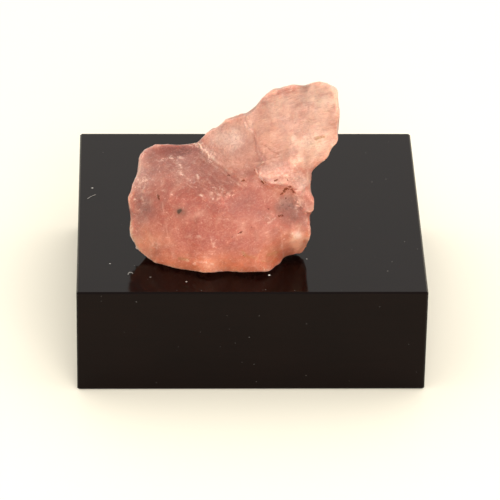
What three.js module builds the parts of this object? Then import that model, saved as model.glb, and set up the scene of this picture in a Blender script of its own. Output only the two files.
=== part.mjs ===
// Rough pink fluorite standing on its black display block.
// Millimetres, +Z up. The origin is the centre of the block's underside, and +Y runs away from the viewer.

import * as THREE from "three";
import { mergeVertices } from "three/addons/utils/BufferGeometryUtils.js";

// Display block
const BLOCK_WIDTH = 40;
const BLOCK_DEPTH = 36.3;
const BLOCK_HEIGHT = 13.2;
const BLOCK_BEVEL = 0.18;

// The stone is drawn in a frame of its own: across, rise and depth, seen square on to its best side.
// Its origin lies on the block's top, and the frame is turned so that the stone stands as displayed.
const STONE_X = -0.1;
const STONE_Y = -8.9;
const TURN_DEG = -1.9;
const TILT_BACK_DEG = 31.6;
const LEAN_DEG = 0.95;
const SEAT_GAP = 0.02;

// The outline was read from this distance, so nearer stretches look a little larger than they are
const VIEWING_DISTANCE = 462;

// Outline of the best side, clockwise from the left shoulder:
// across, rise, depth of the rim's middle (towards the viewer), half the rim's thickness
const OUTLINE = [
  [-12.95, 9.6, 0.9, 0.9],
  [-12.85, 10.4, 0.8, 0.9],
  [-12.55, 11.1, 0.6, 0.8],
  [-12.0, 11.7, 0.3, 0.7],
  [-11.1, 12.05, 0.1, 0.7],
  [-10.0, 12.27, 0.0, 0.6],
  [-8.6, 12.23, 0.0, 0.6],
  [-7.2, 12.36, 0.3, 0.6],
  [-6.35, 12.42, 0.8, 0.6],
  [-6.0, 12.55, 1.1, 0.7],
  [-5.3, 13.3, 1.5, 0.7],
  [-4.6, 13.88, 1.7, 0.7],
  [-3.5, 14.34, 2.1, 0.8],
  [-2.95, 14.94, 2.5, 0.8],
  [-1.7, 15.44, 3.1, 0.8],
  [-0.5, 15.88, 3.6, 0.9],
  [0.05, 16.0, 3.9, 1.0],
  [0.65, 16.66, 4.1, 1.0],
  [1.4, 17.45, 4.4, 1.0],
  [2.5, 18.42, 4.7, 0.9],
  [3.5, 18.6, 4.9, 0.8],
  [4.45, 19.02, 5.0, 0.8],
  [5.3, 19.08, 5.1, 0.8],
  [6.3, 19.02, 5.2, 0.8],
  [7.2, 19.3, 5.4, 0.7],
  [8.3, 19.48, 5.5, 0.6],
  [9.0, 19.2, 5.5, 0.6],
  [9.95, 18.7, 5.4, 0.6],
  [10.2, 18.2, 5.4, 0.7],
  [10.3, 17.2, 5.4, 0.8],
  [10.42, 15.7, 5.4, 0.9],
  [10.28, 14.2, 5.3, 0.9],
  [10.1, 12.8, 5.3, 0.9],
  [9.97, 12.2, 5.3, 0.9],
  [9.4, 11.4, 5.2, 0.9],
  [9.28, 11.0, 5.2, 0.8],
  [9.0, 10.5, 5.2, 0.8],
  [8.3, 10.24, 5.2, 0.9],
  [7.5, 9.5, 5.2, 1.0],
  [7.02, 8.95, 5.2, 1.1],
  [7.1, 8.45, 5.2, 1.1],
  [6.9, 7.3, 5.3, 1.1],
  [7.1, 6.45, 5.5, 1.0],
  [7.46, 5.4, 5.6, 0.7],
  [7.42, 4.85, 5.5, 0.6],
  [7.0, 4.38, 5.0, 0.8],
  [6.9, 4.05, 4.7, 1.0],
  [6.95, 2.6, 4.2, 1.1],
  [6.95, 1.6, 3.5, 1.1],
  [6.8, 0.95, 2.6, 1.0],
  [6.35, 0.2, 1.9, 0.9],
  [5.6, -0.32, 1.7, 0.7],
  [4.8, -0.56, 1.8, 0.6],
  [4.35, -0.72, 2.0, 0.5],
  [3.7, -1.3, 2.7, 0.4],
  [2.9, -1.97, 3.6, 0.4],
  [2.25, -2.47, 4.3, 0.4],
  [1.4, -2.58, 4.5, 0.4],
  [-0.6, -2.62, 4.6, 0.4],
  [-2.6, -2.5, 4.4, 0.4],
  [-4.0, -2.64, 4.6, 0.4],
  [-4.85, -2.77, 4.8, 0.4],
  [-6.3, -2.45, 4.4, 0.4],
  [-7.9, -2.28, 4.0, 0.4],
  [-9.5, -1.8, 3.4, 0.5],
  [-10.9, -1.45, 2.9, 0.5],
  [-11.3, -1.13, 2.5, 0.5],
  [-12.4, -0.43, 1.5, 0.7],
  [-13.2, 0.45, 1.0, 0.9],
  [-13.7, 1.5, 1.1, 1.0],
  [-13.84, 2.3, 1.4, 1.0],
  [-13.77, 3.5, 1.7, 1.0],
  [-13.85, 4.4, 1.8, 1.0],
  [-14.08, 5.3, 1.9, 0.9],
  [-14.05, 6.1, 1.9, 0.8],
  [-13.7, 6.9, 1.9, 0.8],
  [-13.6, 7.5, 1.8, 0.8],
  [-13.15, 8.3, 1.5, 0.9],
];

// Front relief: across, rise, depth
const FRONT = [
  // foot of the front face
  [-11.0, 0.2, 4.2],
  [-8.5, -1.0, 5.1],
  [-5.0, -1.5, 5.9],
  [-1.5, -1.4, 6.0],
  [1.6, -1.4, 5.9],
  [3.4, 0.0, 5.3],
  [5.4, 0.6, 4.3],
  // front face
  [-12.2, 2.6, 3.9],
  [-10.0, 2.0, 5.2],
  [-6.6, 1.4, 6.6],
  [-2.6, 1.0, 7.1],
  [0.8, 0.8, 7.0],
  [3.4, 1.6, 6.6],
  [5.1, 2.0, 6.1],
  [6.1, 3.4, 5.7],
  [-12.4, 5.0, 3.6],
  [-10.6, 5.2, 5.2],
  // crest between the front face and the top face
  [-8.6, 5.4, 6.5],
  [-5.3, 6.1, 7.4],
  [-2.5, 6.5, 7.9],
  [-0.5, 7.6, 8.0],
  [-6.0, 3.9, 7.2],
  [-2.2, 3.8, 7.8],
  [1.2, 4.0, 7.9],
  [1.2, 6.6, 8.1],
  // hollow below the ledge
  [3.2, 3.8, 7.3],
  [3.7, 6.2, 7.1],
  [4.9, 5.0, 6.5],
  [5.4, 3.6, 6.2],
  [6.2, 5.6, 6.3],
  // foot of the ledge
  [0.9, 9.0, 7.7],
  [2.2, 7.6, 7.8],
  [3.8, 7.5, 7.7],
  [5.6, 7.1, 7.2],
  [6.3, 8.2, 6.9],
  // top face
  [-12.1, 8.6, 2.9],
  [-11.4, 10.6, 2.0],
  [-9.4, 8.4, 4.9],
  [-8.8, 11.0, 2.0],
  [-6.4, 8.8, 5.4],
  [-5.6, 11.4, 2.8],
  [-3.0, 9.0, 6.2],
  [-4.4, 10.4, 4.2],
  [-0.9, 9.8, 6.6],
  // shoulder
  [-4.2, 12.6, 3.3],
  [-2.2, 12.0, 4.8],
  [-2.6, 14.2, 3.8],
  [-0.6, 13.0, 5.2],
  [-0.8, 14.9, 4.5],
  [0.4, 11.2, 6.2],
  // lobe
  [0.3, 15.0, 5.5],
  [0.9, 13.2, 6.1],
  [1.5, 11.4, 6.9],
  [2.0, 16.6, 6.1],
  [3.4, 10.4, 8.0],
  [3.0, 13.4, 7.3],
  [4.0, 15.6, 7.2],
  [5.0, 17.8, 6.4],
  [5.6, 9.8, 8.2],
  [5.6, 12.2, 8.1],
  [7.0, 14.8, 7.5],
  [7.4, 17.4, 6.9],
  [8.0, 11.6, 7.2],
  [9.0, 13.2, 6.9],
  [9.2, 16.2, 6.7],
  [9.0, 18.2, 6.2],
];

// Back relief: across, rise, depth
const BACK = [
  // underside, just clear of the block but for its front and back edges
  [-10.5, 0.8, 0.0],
  [-6.0, 0.0, 0.6],
  [-1.0, -0.2, 1.0],
  [2.6, 0.4, 0.2],
  // back foot
  [-10.4, 2.6, -2.6],
  [-6.4, 3.2, -4.7],
  [-1.6, 2.9, -4.6],
  [2.4, 2.9, -3.6],
  [4.8, 2.6, -1.6],
  // back face
  [-11.6, 5.6, -1.6],
  [-8.2, 6.8, -3.0],
  [-3.4, 6.4, -3.6],
  [1.2, 6.4, -3.0],
  [4.6, 6.2, -0.6],
  [6.0, 7.2, 1.6],
  [-11.2, 9.4, -0.9],
  [-7.6, 10.6, -1.5],
  [-3.6, 10.4, -1.5],
  [0.6, 10.2, -1.0],
  [4.4, 9.4, 0.5],
  // back of the shoulder and the lobe
  [-3.2, 13.2, 0.3],
  [0.4, 13.4, 0.8],
  [3.4, 12.6, 1.2],
  [6.6, 11.4, 2.1],
  [2.4, 15.8, 1.8],
  [5.8, 15.2, 1.9],
  [8.8, 13.6, 3.2],
  [5.2, 17.8, 3.1],
  [8.6, 17.2, 3.5],
];

// Chips: half balls taken out of the surface, each with a flat floor.
// Centre (across, rise, depth), radius, and the direction in which its floor faces.
const CHIPS = [
  { at: [-13.6, 6.6, 3.0], radius: 1.0, faces: [-0.7, 0.3, 0.6] },
  { at: [-7.8, 12.6, 1.3], radius: 1.3, faces: [0.1, 0.8, 0.6] },
  { at: [4.9, -0.9, 3.4], radius: 1.3, faces: [0.5, -0.7, 0.4] },
  { at: [9.2, 10.8, 5.4], radius: 1.2, faces: [0.7, -0.6, 0.2] },
  { at: [-4.6, 3.4, -4.0], radius: 2.6, faces: [-0.33, -0.2, -0.92] },
  { at: [3.4, 8.6, -1.3], radius: 3.0, faces: [0.6, 0.2, -0.77] },
  { at: [7.6, 16.2, 2.9], radius: 2.6, faces: [0.4, 0.5, -0.75] },
];

// Steps on the front, each a raised plate: its outline, and how far it stands proud at its low and high end
const SHOULDER_STEP = {
  outline: [
    [-6.5, 12.9], [-5.6, 11.5], [-4.7, 10.5], [-3.4, 9.7], [-2.0, 8.6], [-0.9, 7.9], [0.6, 8.4],
    [12.0, 8.4], [12.0, 21.0], [-6.5, 21.0],
  ],
  low: { rise: 8.0, height: 0.1 },
  high: { rise: 12.0, height: 0.4 },
};
const LOBE_STEP = {
  outline: [
    [0.0, 16.2], [-0.5, 15.4], [-0.6, 14.8], [-0.3, 14.1], [0.3, 13.8], [0.7, 13.0], [0.87, 11.8],
    [1.3, 10.8], [1.6, 10.2], [0.6, 9.55], [1.0, 8.6], [1.9, 7.6], [2.5, 7.35], [3.3, 7.5], [4.5, 7.3],
    [5.2, 6.9], [6.3, 7.1], [6.9, 7.3], [12.0, 8.0], [12.0, 21.0], [0.0, 21.0],
  ],
  low: { rise: 8.0, height: 1.0 },
  high: { rise: 11.5, height: 0.35 },
};
const FLAKE_STEP = {
  outline: [[5.0, 6.7], [5.1, 6.0], [5.6, 5.2], [6.1, 4.6], [6.9, 4.1], [9.0, 3.8], [9.0, 7.2], [6.0, 7.3]],
  low: { rise: 4.0, height: 0.75 },
  high: { rise: 7.0, height: 0.55 },
};
const STEP_SLOPE = 0.4;

// Cleavage: the back has parted in flat terraces along one of the mineral's four cleavage planes
const CLEAVAGE_FACING = [-0.1, 0.42, -0.9];
const TERRACE_RISE = 1.3;
const TERRACE_WANDER = [{ size: 6.0, share: 0.8 }, { size: 2.4, share: 0.4 }];
const RISER_SHARE = 0.4;
const CLEAVED_SHARE = 0.85;
// Terraces fade out this far to either side of the stone's long axis
const TERRACE_AXIS = { across: -6.5, slope: 0.75, full: 5.5, none: 8.0 };

// Flat cleavage faces along the other planes: a point on each, and the direction in which it faces
const CLEAVAGE_FACES = [
  { at: [2.9, 2.4, -2.3], facing: [0.33, -0.47, -0.82] },
  { at: [-10.8, 3.0, -2.3], facing: [-0.78, -0.3, -0.55] },
];

// Wear and lumps. The rim grows a little to make up for its rounding.
const RIM_ROUNDING = 0.7;
const RIM_GROWTH = 0.06;
const RIM_CALM = 1.5;
const CREASE_ROUNDING = 0.15;
const FRONT_SLACK = 0.4;
const LUMP_SIZE = 2.8;
const LUMP_HEIGHT = 0.22;

// The grid on which the stone's surface is found, in the stone's own frame
const CELL = 0.58;
const GRID_FROM = [-15.5, -4.2, -7.4];
const GRID_TO = [11.9, 21.0, 10.4];
const CROSSING_STEPS = 3;
const PROBE = 0.02;
const CORNER_SOFTNESS = 0.12;
const CORNER_REACH = 0.55;

const rad = THREE.MathUtils.degToRad;

// Noise

// A repeatable number from -1 to 1 for each corner of a unit grid
function cornerValue(i, j, k) {
  let h = (Math.imul(i, 374761393) + Math.imul(j, 668265263) + Math.imul(k, 2147483647)) | 0;
  h = Math.imul(h ^ (h >>> 13), 1274126177);
  return ((h ^ (h >>> 16)) >>> 0) / 2147483648 - 1;
}

function smoothNoise(x, y, z) {
  const [i, j, k] = [Math.floor(x), Math.floor(y), Math.floor(z)];
  const ease = (t) => t * t * (3 - 2 * t);
  const [u, v, w] = [ease(x - i), ease(y - j), ease(z - k)];
  let sum = 0;
  for (let n = 0; n < 8; n++) {
    const [a, b, c] = [n & 1, (n >> 1) & 1, (n >> 2) & 1];
    sum += cornerValue(i + a, j + b, k + c) * (a ? u : 1 - u) * (b ? v : 1 - v) * (c ? w : 1 - w);
  }
  return sum;
}

// Outline

// Closed curve through the outline's points, as a polygon
function outlinePolygon(points, count) {
  const curve = new THREE.CatmullRomCurve3(
    points.map(([x, y]) => new THREE.Vector3(x, y, 0)),
    true,
    "centripetal",
  );
  return curve.getPoints(count).slice(0, -1);
}

// Distance from a point to the polygon, negative inside
function distanceToPolygon(polygon, x, y) {
  let nearest = Infinity;
  let inside = false;
  for (let i = 0, j = polygon.length - 1; i < polygon.length; j = i++) {
    const [a, b] = [polygon[i], polygon[j]];
    const [ex, ey] = [b.x - a.x, b.y - a.y];
    const [px, py] = [x - a.x, y - a.y];
    const t = THREE.MathUtils.clamp((px * ex + py * ey) / (ex * ex + ey * ey), 0, 1);
    nearest = Math.min(nearest, (px - t * ex) ** 2 + (py - t * ey) ** 2);
    if (a.y > y !== b.y > y && x < ((b.x - a.x) * (y - a.y)) / (b.y - a.y) + a.x) inside = !inside;
  }
  return inside ? -Math.sqrt(nearest) : Math.sqrt(nearest);
}

// Relief

// Delaunay triangles over points given as [x, y, ...]
function delaunay(points) {
  const far = 500;
  const all = [...points, [-far, -far], [far, -far], [0, far]];
  const count = points.length;
  let triangles = [[count, count + 1, count + 2]];
  const holds = ([a, b, c], [px, py]) => {
    const [ax, ay, bx, by, cx, cy] = [a, b, c].flatMap((n) => [all[n][0] - px, all[n][1] - py]);
    const turn = (bx - ax) * (cy - ay) - (by - ay) * (cx - ax);
    const inCircle =
      (ax * ax + ay * ay) * (bx * cy - cx * by) -
      (bx * bx + by * by) * (ax * cy - cx * ay) +
      (cx * cx + cy * cy) * (ax * by - bx * ay);
    return inCircle * Math.sign(turn) > 0;
  };
  for (let n = 0; n < count; n++) {
    const opened = triangles.filter((t) => holds(t, all[n]));
    const sides = opened.flatMap(([a, b, c]) => [[a, b], [b, c], [c, a]]);
    const border = sides.filter(([a, b]) => !sides.some(([c, d]) => a === d && b === c));
    triangles = triangles.filter((t) => !opened.includes(t));
    triangles.push(...border.map(([a, b]) => [a, b, n]));
  }
  return triangles.filter((t) => t.every((n) => n < count));
}

// A height over the picture plane: flat facets between the points, the nearest point's height beyond them
function facetedRelief(points) {
  const facets = delaunay(points).map((t) => t.map((n) => points[n]));
  return (x, y) => {
    for (const [a, b, c] of facets) {
      const area = (b[0] - a[0]) * (c[1] - a[1]) - (b[1] - a[1]) * (c[0] - a[0]);
      const s = ((b[0] - x) * (c[1] - y) - (b[1] - y) * (c[0] - x)) / area;
      if (s < 0) continue;
      const t = ((c[0] - x) * (a[1] - y) - (c[1] - y) * (a[0] - x)) / area;
      if (t < 0 || s + t > 1) continue;
      return s * a[2] + t * b[2] + (1 - s - t) * c[2];
    }
    let [nearest, height] = [Infinity, 0];
    for (const [px, py, pz] of points) {
      const d = (px - x) ** 2 + (py - y) ** 2;
      if (d < nearest) [nearest, height] = [d, pz];
    }
    return height;
  };
}

// A height over the picture plane, smooth like a thin plate bent over the points
function bentPlate(points, slack) {
  const kernel = (squared) => (squared > 0 ? squared * Math.log(squared) : 0);
  const pull = ([ax, ay], [bx, by]) => kernel((ax - bx) ** 2 + (ay - by) ** 2);
  const rows = points.map((a, i) => {
    const pulls = points.map((b, j) => pull(a, b) + (i === j ? slack : 0));
    return [...pulls, 1, ...a.slice(0, 3)];
  });
  for (const plane of [() => 1, (a) => a[0], (a) => a[1]]) rows.push([...points.map(plane), 0, 0, 0, 0]);
  const weights = solved(rows);
  const [level, slopeX, slopeY] = weights.slice(points.length);
  return (x, y) =>
    points.reduce((sum, a, n) => sum + weights[n] * pull(a, [x, y]), level + slopeX * x + slopeY * y);
}

// Gaussian elimination: each row holds its coefficients and then its right side
function solved(rows) {
  const size = rows.length;
  for (let n = 0; n < size; n++) {
    const sizes = rows.slice(n).map((row) => Math.abs(row[n]));
    const best = n + sizes.indexOf(Math.max(...sizes));
    [rows[n], rows[best]] = [rows[best], rows[n]];
    for (let m = n + 1; m < size; m++) {
      const share = rows[m][n] / rows[n][n];
      for (let k = n; k <= size; k++) rows[m][k] -= share * rows[n][k];
    }
  }
  const answer = new Array(size).fill(0);
  for (let n = size - 1; n >= 0; n--) {
    const rest = answer.reduce((sum, value, k) => sum + (k > n ? value * rows[n][k] : 0), 0);
    answer[n] = (rows[n][size] - rest) / rows[n][n];
  }
  return answer;
}

// The same relief parted in terraces that lie flat against a cleavage plane
function terraced(relief) {
  const [fx, fy, fz] = CLEAVAGE_FACING;
  return (x, y) => {
    const z = relief(x, y);
    const level = (x * fx + y * fy + z * fz) / TERRACE_RISE;
    const shifted = TERRACE_WANDER.reduce(
      (sum, { size, share }) => sum + share * smoothNoise(x / size, y / size, size),
      level,
    );
    const low = Math.floor(shifted);
    const step = THREE.MathUtils.smoothstep(shifted - low, 0.5 - RISER_SHARE / 2, 0.5 + RISER_SHARE / 2);
    const flat = ((low + step) * TERRACE_RISE - x * fx - y * fy) / fz;
    const aside = Math.abs(x - TERRACE_AXIS.across - TERRACE_AXIS.slope * y);
    const faded = THREE.MathUtils.smoothstep(aside, TERRACE_AXIS.full, TERRACE_AXIS.none);
    return z + CLEAVED_SHARE * (1 - faded) * (flat - z);
  };
}

// Solid

function smoothMax(a, b, k) {
  const h = Math.max(k - Math.abs(a - b), 0) / k;
  return Math.max(a, b) + (h * h * k) / 4;
}

// How far a step's plate stands proud at a point of the picture plane
function stepHeight({ outline, low, high }) {
  const border = outline.map(([bx, by]) => new THREE.Vector2(bx, by));
  return (px, py) => {
    const depth = -distanceToPolygon(border, px, py);
    const inside = THREE.MathUtils.smoothstep(depth, -STEP_SLOPE / 2, STEP_SLOPE / 2);
    const t = THREE.MathUtils.smoothstep(py, low.rise, high.rise);
    return inside * THREE.MathUtils.lerp(low.height, high.height, t);
  };
}

// The stone's field in its own frame: negative inside, in about millimetres
function stoneField(up) {
  const polygon = outlinePolygon(OUTLINE, 300);
  const rim = (sign) => OUTLINE.map(([x, y, middle, half]) => [x, y, middle + sign * half]);
  const front = bentPlate([...rim(1), ...FRONT], FRONT_SLACK);
  const steps = [SHOULDER_STEP, LOBE_STEP, FLAKE_STEP].map(stepHeight);
  const relief = facetedRelief([...rim(-1), ...BACK]);
  const back = terraced(relief);
  const cleavages = CLEAVAGE_FACES.map(({ at, facing }) =>
    new THREE.Plane().setFromNormalAndCoplanarPoint(
      new THREE.Vector3(...facing).normalize(),
      new THREE.Vector3(...at),
    ),
  );
  const chips = CHIPS.map(({ at, radius, faces }) => ({
    centre: new THREE.Vector3(...at),
    radius,
    floor: new THREE.Vector3(...faces).normalize(),
  }));
  const offset = new THREE.Vector3();
  return (p) => {
    const nearness = VIEWING_DISTANCE / (VIEWING_DISTANCE - p.z);
    const [x, y] = [p.x * nearness, p.y * nearness];
    const edge = distanceToPolygon(polygon, x, y) - RIM_GROWTH;
    if (edge > 2 * CELL) return edge;
    const depthIn = THREE.MathUtils.smoothstep(-edge, 0, RIM_CALM);
    const lump = LUMP_HEIGHT * smoothNoise(p.x / LUMP_SIZE, p.y / LUMP_SIZE, p.z / LUMP_SIZE);
    const frontDepth = front(x, y) + steps.reduce((sum, height) => sum + height(x, y), 0);
    const backDepth = THREE.MathUtils.lerp(relief(x, y), back(x, y), depthIn);
    const faces = [p.z - frontDepth - depthIn * lump, backDepth - p.z];
    let field = smoothMax(edge, smoothMax(faces[0], faces[1], RIM_ROUNDING), RIM_ROUNDING);
    for (const plane of cleavages) field = smoothMax(field, plane.distanceToPoint(p), CREASE_ROUNDING);
    for (const { centre, radius, floor } of chips) {
      offset.copy(p).sub(centre);
      field = smoothMax(field, Math.min(radius - offset.length(), offset.dot(floor)), CREASE_ROUNDING);
    }
    return Math.max(field, SEAT_GAP - p.dot(up));
  };
}

// Surface of a field as a closed mesh, with one vertex in each cell that the surface crosses
function surfaceOf(field, low, high, cell) {
  const size = [0, 1, 2].map((n) => Math.ceil((high.getComponent(n) - low.getComponent(n)) / cell) + 1);
  const index = (i, j, k) => i + size[0] * (j + size[1] * k);
  const place = (i, j, k) => new THREE.Vector3(i, j, k).multiplyScalar(cell).add(low);
  const value = new Float32Array(size[0] * size[1] * size[2]);
  for (let k = 0; k < size[2]; k++)
    for (let j = 0; j < size[1]; j++)
      for (let i = 0; i < size[0]; i++) value[index(i, j, k)] = field(place(i, j, k));

  const corners = Array.from({ length: 8 }, (_, n) => [n & 1, (n >> 1) & 1, (n >> 2) & 1]);
  const cellEdges = corners.flatMap((a, n) =>
    [1, 2, 4].filter((bit) => !(n & bit)).map((bit) => [n, n | bit]),
  );
  fillPinches(value, size, corners.map(([a, b, c]) => index(a, b, c)));
  const crossingOn = new Map();
  const crossingOf = (from, to, start, end) => {
    const key = from * value.length + to;
    if (!crossingOn.has(key)) crossingOn.set(key, crossing(field, start, end, value[from], value[to]));
    return crossingOn.get(key);
  };
  const vertexOf = new Map();
  const vertices = [];
  for (let k = 0; k < size[2] - 1; k++)
    for (let j = 0; j < size[1] - 1; j++)
      for (let i = 0; i < size[0] - 1; i++) {
        const at = corners.map(([a, b, c]) => index(i + a, j + b, k + c));
        const crossed = cellEdges.filter(([m, n]) => value[at[m]] < 0 !== value[at[n]] < 0);
        if (!crossed.length) continue;
        const corner = (n) => place(i + corners[n][0], j + corners[n][1], k + corners[n][2]);
        const crossings = crossed.map(([m, n]) => crossingOf(at[m], at[n], corner(m), corner(n)));
        vertexOf.set(index(i, j, k), vertices.length);
        vertices.push(cornerOf(crossings, cell));
      }

  const triangles = [];
  const steps = [[1, 0, 0], [0, 1, 0], [0, 0, 1]];
  for (let k = 1; k < size[2] - 1; k++)
    for (let j = 1; j < size[1] - 1; j++)
      for (let i = 1; i < size[0] - 1; i++)
        for (const axis of [0, 1, 2]) {
          const [di, dj, dk] = steps[axis];
          const starts = value[index(i, j, k)] < 0;
          if (starts === value[index(i + di, j + dj, k + dk)] < 0) continue;
          const [u, v] = [steps[(axis + 1) % 3], steps[(axis + 2) % 3]];
          const around = [[0, 0], [1, 0], [1, 1], [0, 1]].map(([a, b]) =>
            vertexOf.get(index(i - a * u[0] - b * v[0], j - a * u[1] - b * v[1], k - a * u[2] - b * v[2])),
          );
          if (!starts) around.reverse();
          triangles.push(...splitQuad(around, vertices));
        }
  const mesh = new THREE.BufferGeometry();
  mesh.setAttribute("position", new THREE.Float32BufferAttribute(vertices.flatMap((p) => p.toArray()), 3));
  mesh.setIndex(triangles.flat());
  return mesh;
}

// Fills the corner of any cell where two sheets of the surface would share a vertex
function fillPinches(value, size, corners) {
  const [row, layer] = [size[0], size[0] * size[1]];
  const reached = (side) => {
    let seen = side & -side;
    for (let last = 0; last !== seen; ) {
      last = seen;
      for (let n = 0; n < 8; n++)
        if (last & (1 << n)) seen |= side & ((1 << (n ^ 1)) | (1 << (n ^ 2)) | (1 << (n ^ 4)));
    }
    return seen === side;
  };
  for (let changed = true; changed; ) {
    changed = false;
    for (let first = 0; first < value.length - layer - row - 1; first++) {
      const inside = corners.reduce((bits, c, n) => bits | (value[first + c] < 0 ? 1 << n : 0), 0);
      if (inside === 0 || inside === 255 || (reached(inside) && reached(255 ^ inside))) continue;
      const outside = corners.map((c) => first + c).filter((c) => value[c] >= 0);
      const nearest = outside.reduce((a, b) => (value[b] < value[a] ? b : a));
      value[nearest] = -1e-3;
      changed = true;
    }
  }
}

// Where the surface passes between two places on either side of it, and the way it faces there
function crossing(field, start, end, startValue, endValue) {
  let [a, b, va, vb] = [start, end, startValue, endValue];
  const at = new THREE.Vector3();
  for (let n = 0; n < CROSSING_STEPS; n++) {
    at.lerpVectors(a, b, THREE.MathUtils.clamp(va / (va - vb), 0.1, 0.9));
    const here = field(at);
    if (here < 0 === va < 0) [a, va] = [at.clone(), here];
    else [b, vb] = [at.clone(), here];
  }
  at.lerpVectors(a, b, va / (va - vb));
  const here = field(at);
  const facing = new THREE.Vector3(
    field(new THREE.Vector3(at.x + PROBE, at.y, at.z)) - here,
    field(new THREE.Vector3(at.x, at.y + PROBE, at.z)) - here,
    field(new THREE.Vector3(at.x, at.y, at.z + PROBE)) - here,
  ).normalize();
  return { at, facing };
}

// The point of a cell nearest to the planes of all its crossings, so that creases stay sharp
function cornerOf(crossings, cell) {
  const middle = new THREE.Vector3();
  for (const { at } of crossings) middle.addScaledVector(at, 1 / crossings.length);
  const grip = new Array(9).fill(0).map((_, n) => (n % 4 === 0 ? CORNER_SOFTNESS * crossings.length : 0));
  const pull = new THREE.Vector3();
  for (const { at, facing } of crossings) {
    const n = facing.toArray();
    pull.addScaledVector(facing, facing.dot(at) - facing.dot(middle));
    for (let m = 0; m < 9; m++) grip[m] += n[m % 3] * n[Math.floor(m / 3)];
  }
  const shift = pull.applyMatrix3(new THREE.Matrix3().fromArray(grip).invert());
  return middle.add(shift.clampLength(0, cell * CORNER_REACH));
}

// Two triangles from a quad, split along its shorter diagonal
function splitQuad([a, b, c, d], vertices) {
  const across = vertices[a].distanceTo(vertices[c]) < vertices[b].distanceTo(vertices[d]);
  return across ? [[a, b, c], [a, c, d]] : [[b, c, d], [b, d, a]];
}

function makeStone() {
  const turned = new THREE.Matrix4()
    .makeRotationZ(rad(TURN_DEG))
    .multiply(new THREE.Matrix4().makeRotationX(rad(90 - TILT_BACK_DEG)))
    .multiply(new THREE.Matrix4().makeRotationZ(rad(LEAN_DEG)));
  const up = new THREE.Vector3(0, 0, 1).transformDirection(turned.clone().invert());
  const [low, high] = [new THREE.Vector3(...GRID_FROM), new THREE.Vector3(...GRID_TO)];
  const geometry = surfaceOf(stoneField(up), low, high, CELL).applyMatrix4(turned);
  const position = geometry.getAttribute("position");
  for (let n = 0; n < position.count; n++) position.setZ(n, Math.max(position.getZ(n), SEAT_GAP));
  const stone = new THREE.Mesh(
    geometry,
    new THREE.MeshStandardMaterial({ color: 0xd68c78, roughness: 0.4, metalness: 0 }),
  );
  stone.name = "fluorite";
  stone.position.set(STONE_X, STONE_Y, BLOCK_HEIGHT);
  return stone;
}

function makeBlock() {
  const [x, y, b] = [BLOCK_WIDTH / 2, BLOCK_DEPTH / 2, BLOCK_BEVEL];
  const plan = new THREE.Shape([
    new THREE.Vector2(-x + b, -y),
    new THREE.Vector2(x - b, -y),
    new THREE.Vector2(x, -y + b),
    new THREE.Vector2(x, y - b),
    new THREE.Vector2(x - b, y),
    new THREE.Vector2(-x + b, y),
    new THREE.Vector2(-x, y - b),
    new THREE.Vector2(-x, -y + b),
  ]);
  const extruded = new THREE.ExtrudeGeometry(plan, {
    depth: BLOCK_HEIGHT - 2 * b,
    bevelEnabled: true,
    bevelThickness: b,
    bevelSize: b,
    bevelOffset: -b,
    bevelSegments: 1,
  });
  extruded.translate(0, 0, b);
  extruded.deleteAttribute("normal");
  extruded.deleteAttribute("uv");
  const block = new THREE.Mesh(
    mergeVertices(extruded, 1e-4),
    new THREE.MeshStandardMaterial({ color: 0x1c1816, roughness: 0.25, metalness: 0 }),
  );
  block.name = "display_block";
  return block;
}

const specimen = new THREE.Group();
specimen.add(makeBlock(), makeStone());

export default specimen;
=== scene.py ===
"""Looks of the rough pink fluorite on its black display block."""

import math

import bpy
import numpy as np
from mathutils import Euler, Matrix, Vector


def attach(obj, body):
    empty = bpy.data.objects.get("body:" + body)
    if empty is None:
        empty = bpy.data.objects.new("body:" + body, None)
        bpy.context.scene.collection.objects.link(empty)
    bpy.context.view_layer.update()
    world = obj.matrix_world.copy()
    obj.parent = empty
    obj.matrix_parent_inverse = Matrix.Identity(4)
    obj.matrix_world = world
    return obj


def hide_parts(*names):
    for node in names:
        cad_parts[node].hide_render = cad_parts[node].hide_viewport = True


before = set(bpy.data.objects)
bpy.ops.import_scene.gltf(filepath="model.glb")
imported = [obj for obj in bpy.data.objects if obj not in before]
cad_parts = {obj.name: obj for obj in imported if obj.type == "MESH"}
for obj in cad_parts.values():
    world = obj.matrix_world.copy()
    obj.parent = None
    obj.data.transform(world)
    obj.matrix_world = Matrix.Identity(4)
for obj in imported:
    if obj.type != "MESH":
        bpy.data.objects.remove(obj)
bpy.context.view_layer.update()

MM = 0.001

# Display block: the height of its top and the place of its front, in millimetres
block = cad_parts["display_block"]
BLOCK_TOP = round(max(corner[2] for corner in block.bound_box) / MM, 3)
BLOCK_FRONT = round(min(corner[1] for corner in block.bound_box) / MM, 3)

# Camera: place in millimetres, and turns in degrees. It looks down on the block from the front, a little left
CAMERA_PLACE = (-13.025, -402.159, 255.143)
CAMERA_TURN = (58.4098, -0.8131, -1.3855)
CAMERA_LENS = 288.0
CAMERA_SENSOR = 36.0
CAMERA_CLIP = (0.01, 10.0)

# Studio light: the surroundings' strength to the front, to the back and overhead, and one soft box, in metres
WORLD_COLOUR = (1.0, 0.978, 0.938, 1.0)
WORLD_FRONT = 1.02
WORLD_BACK = 1.5
WORLD_ZENITH = 0.85
SOFTBOX_PLACE = (0.16, -0.85, 0.3)
SOFTBOX_AIM = (0, 0, 0.02)
SOFTBOX_SIZE = 0.7
SOFTBOX_POWER = 7.0
SOFTBOX_COLOUR = (1.0, 0.97, 0.93)
FLOOR_HALF = 3.0
FLOOR_COLOUR = (0.98, 0.925, 0.785, 1.0)

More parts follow.
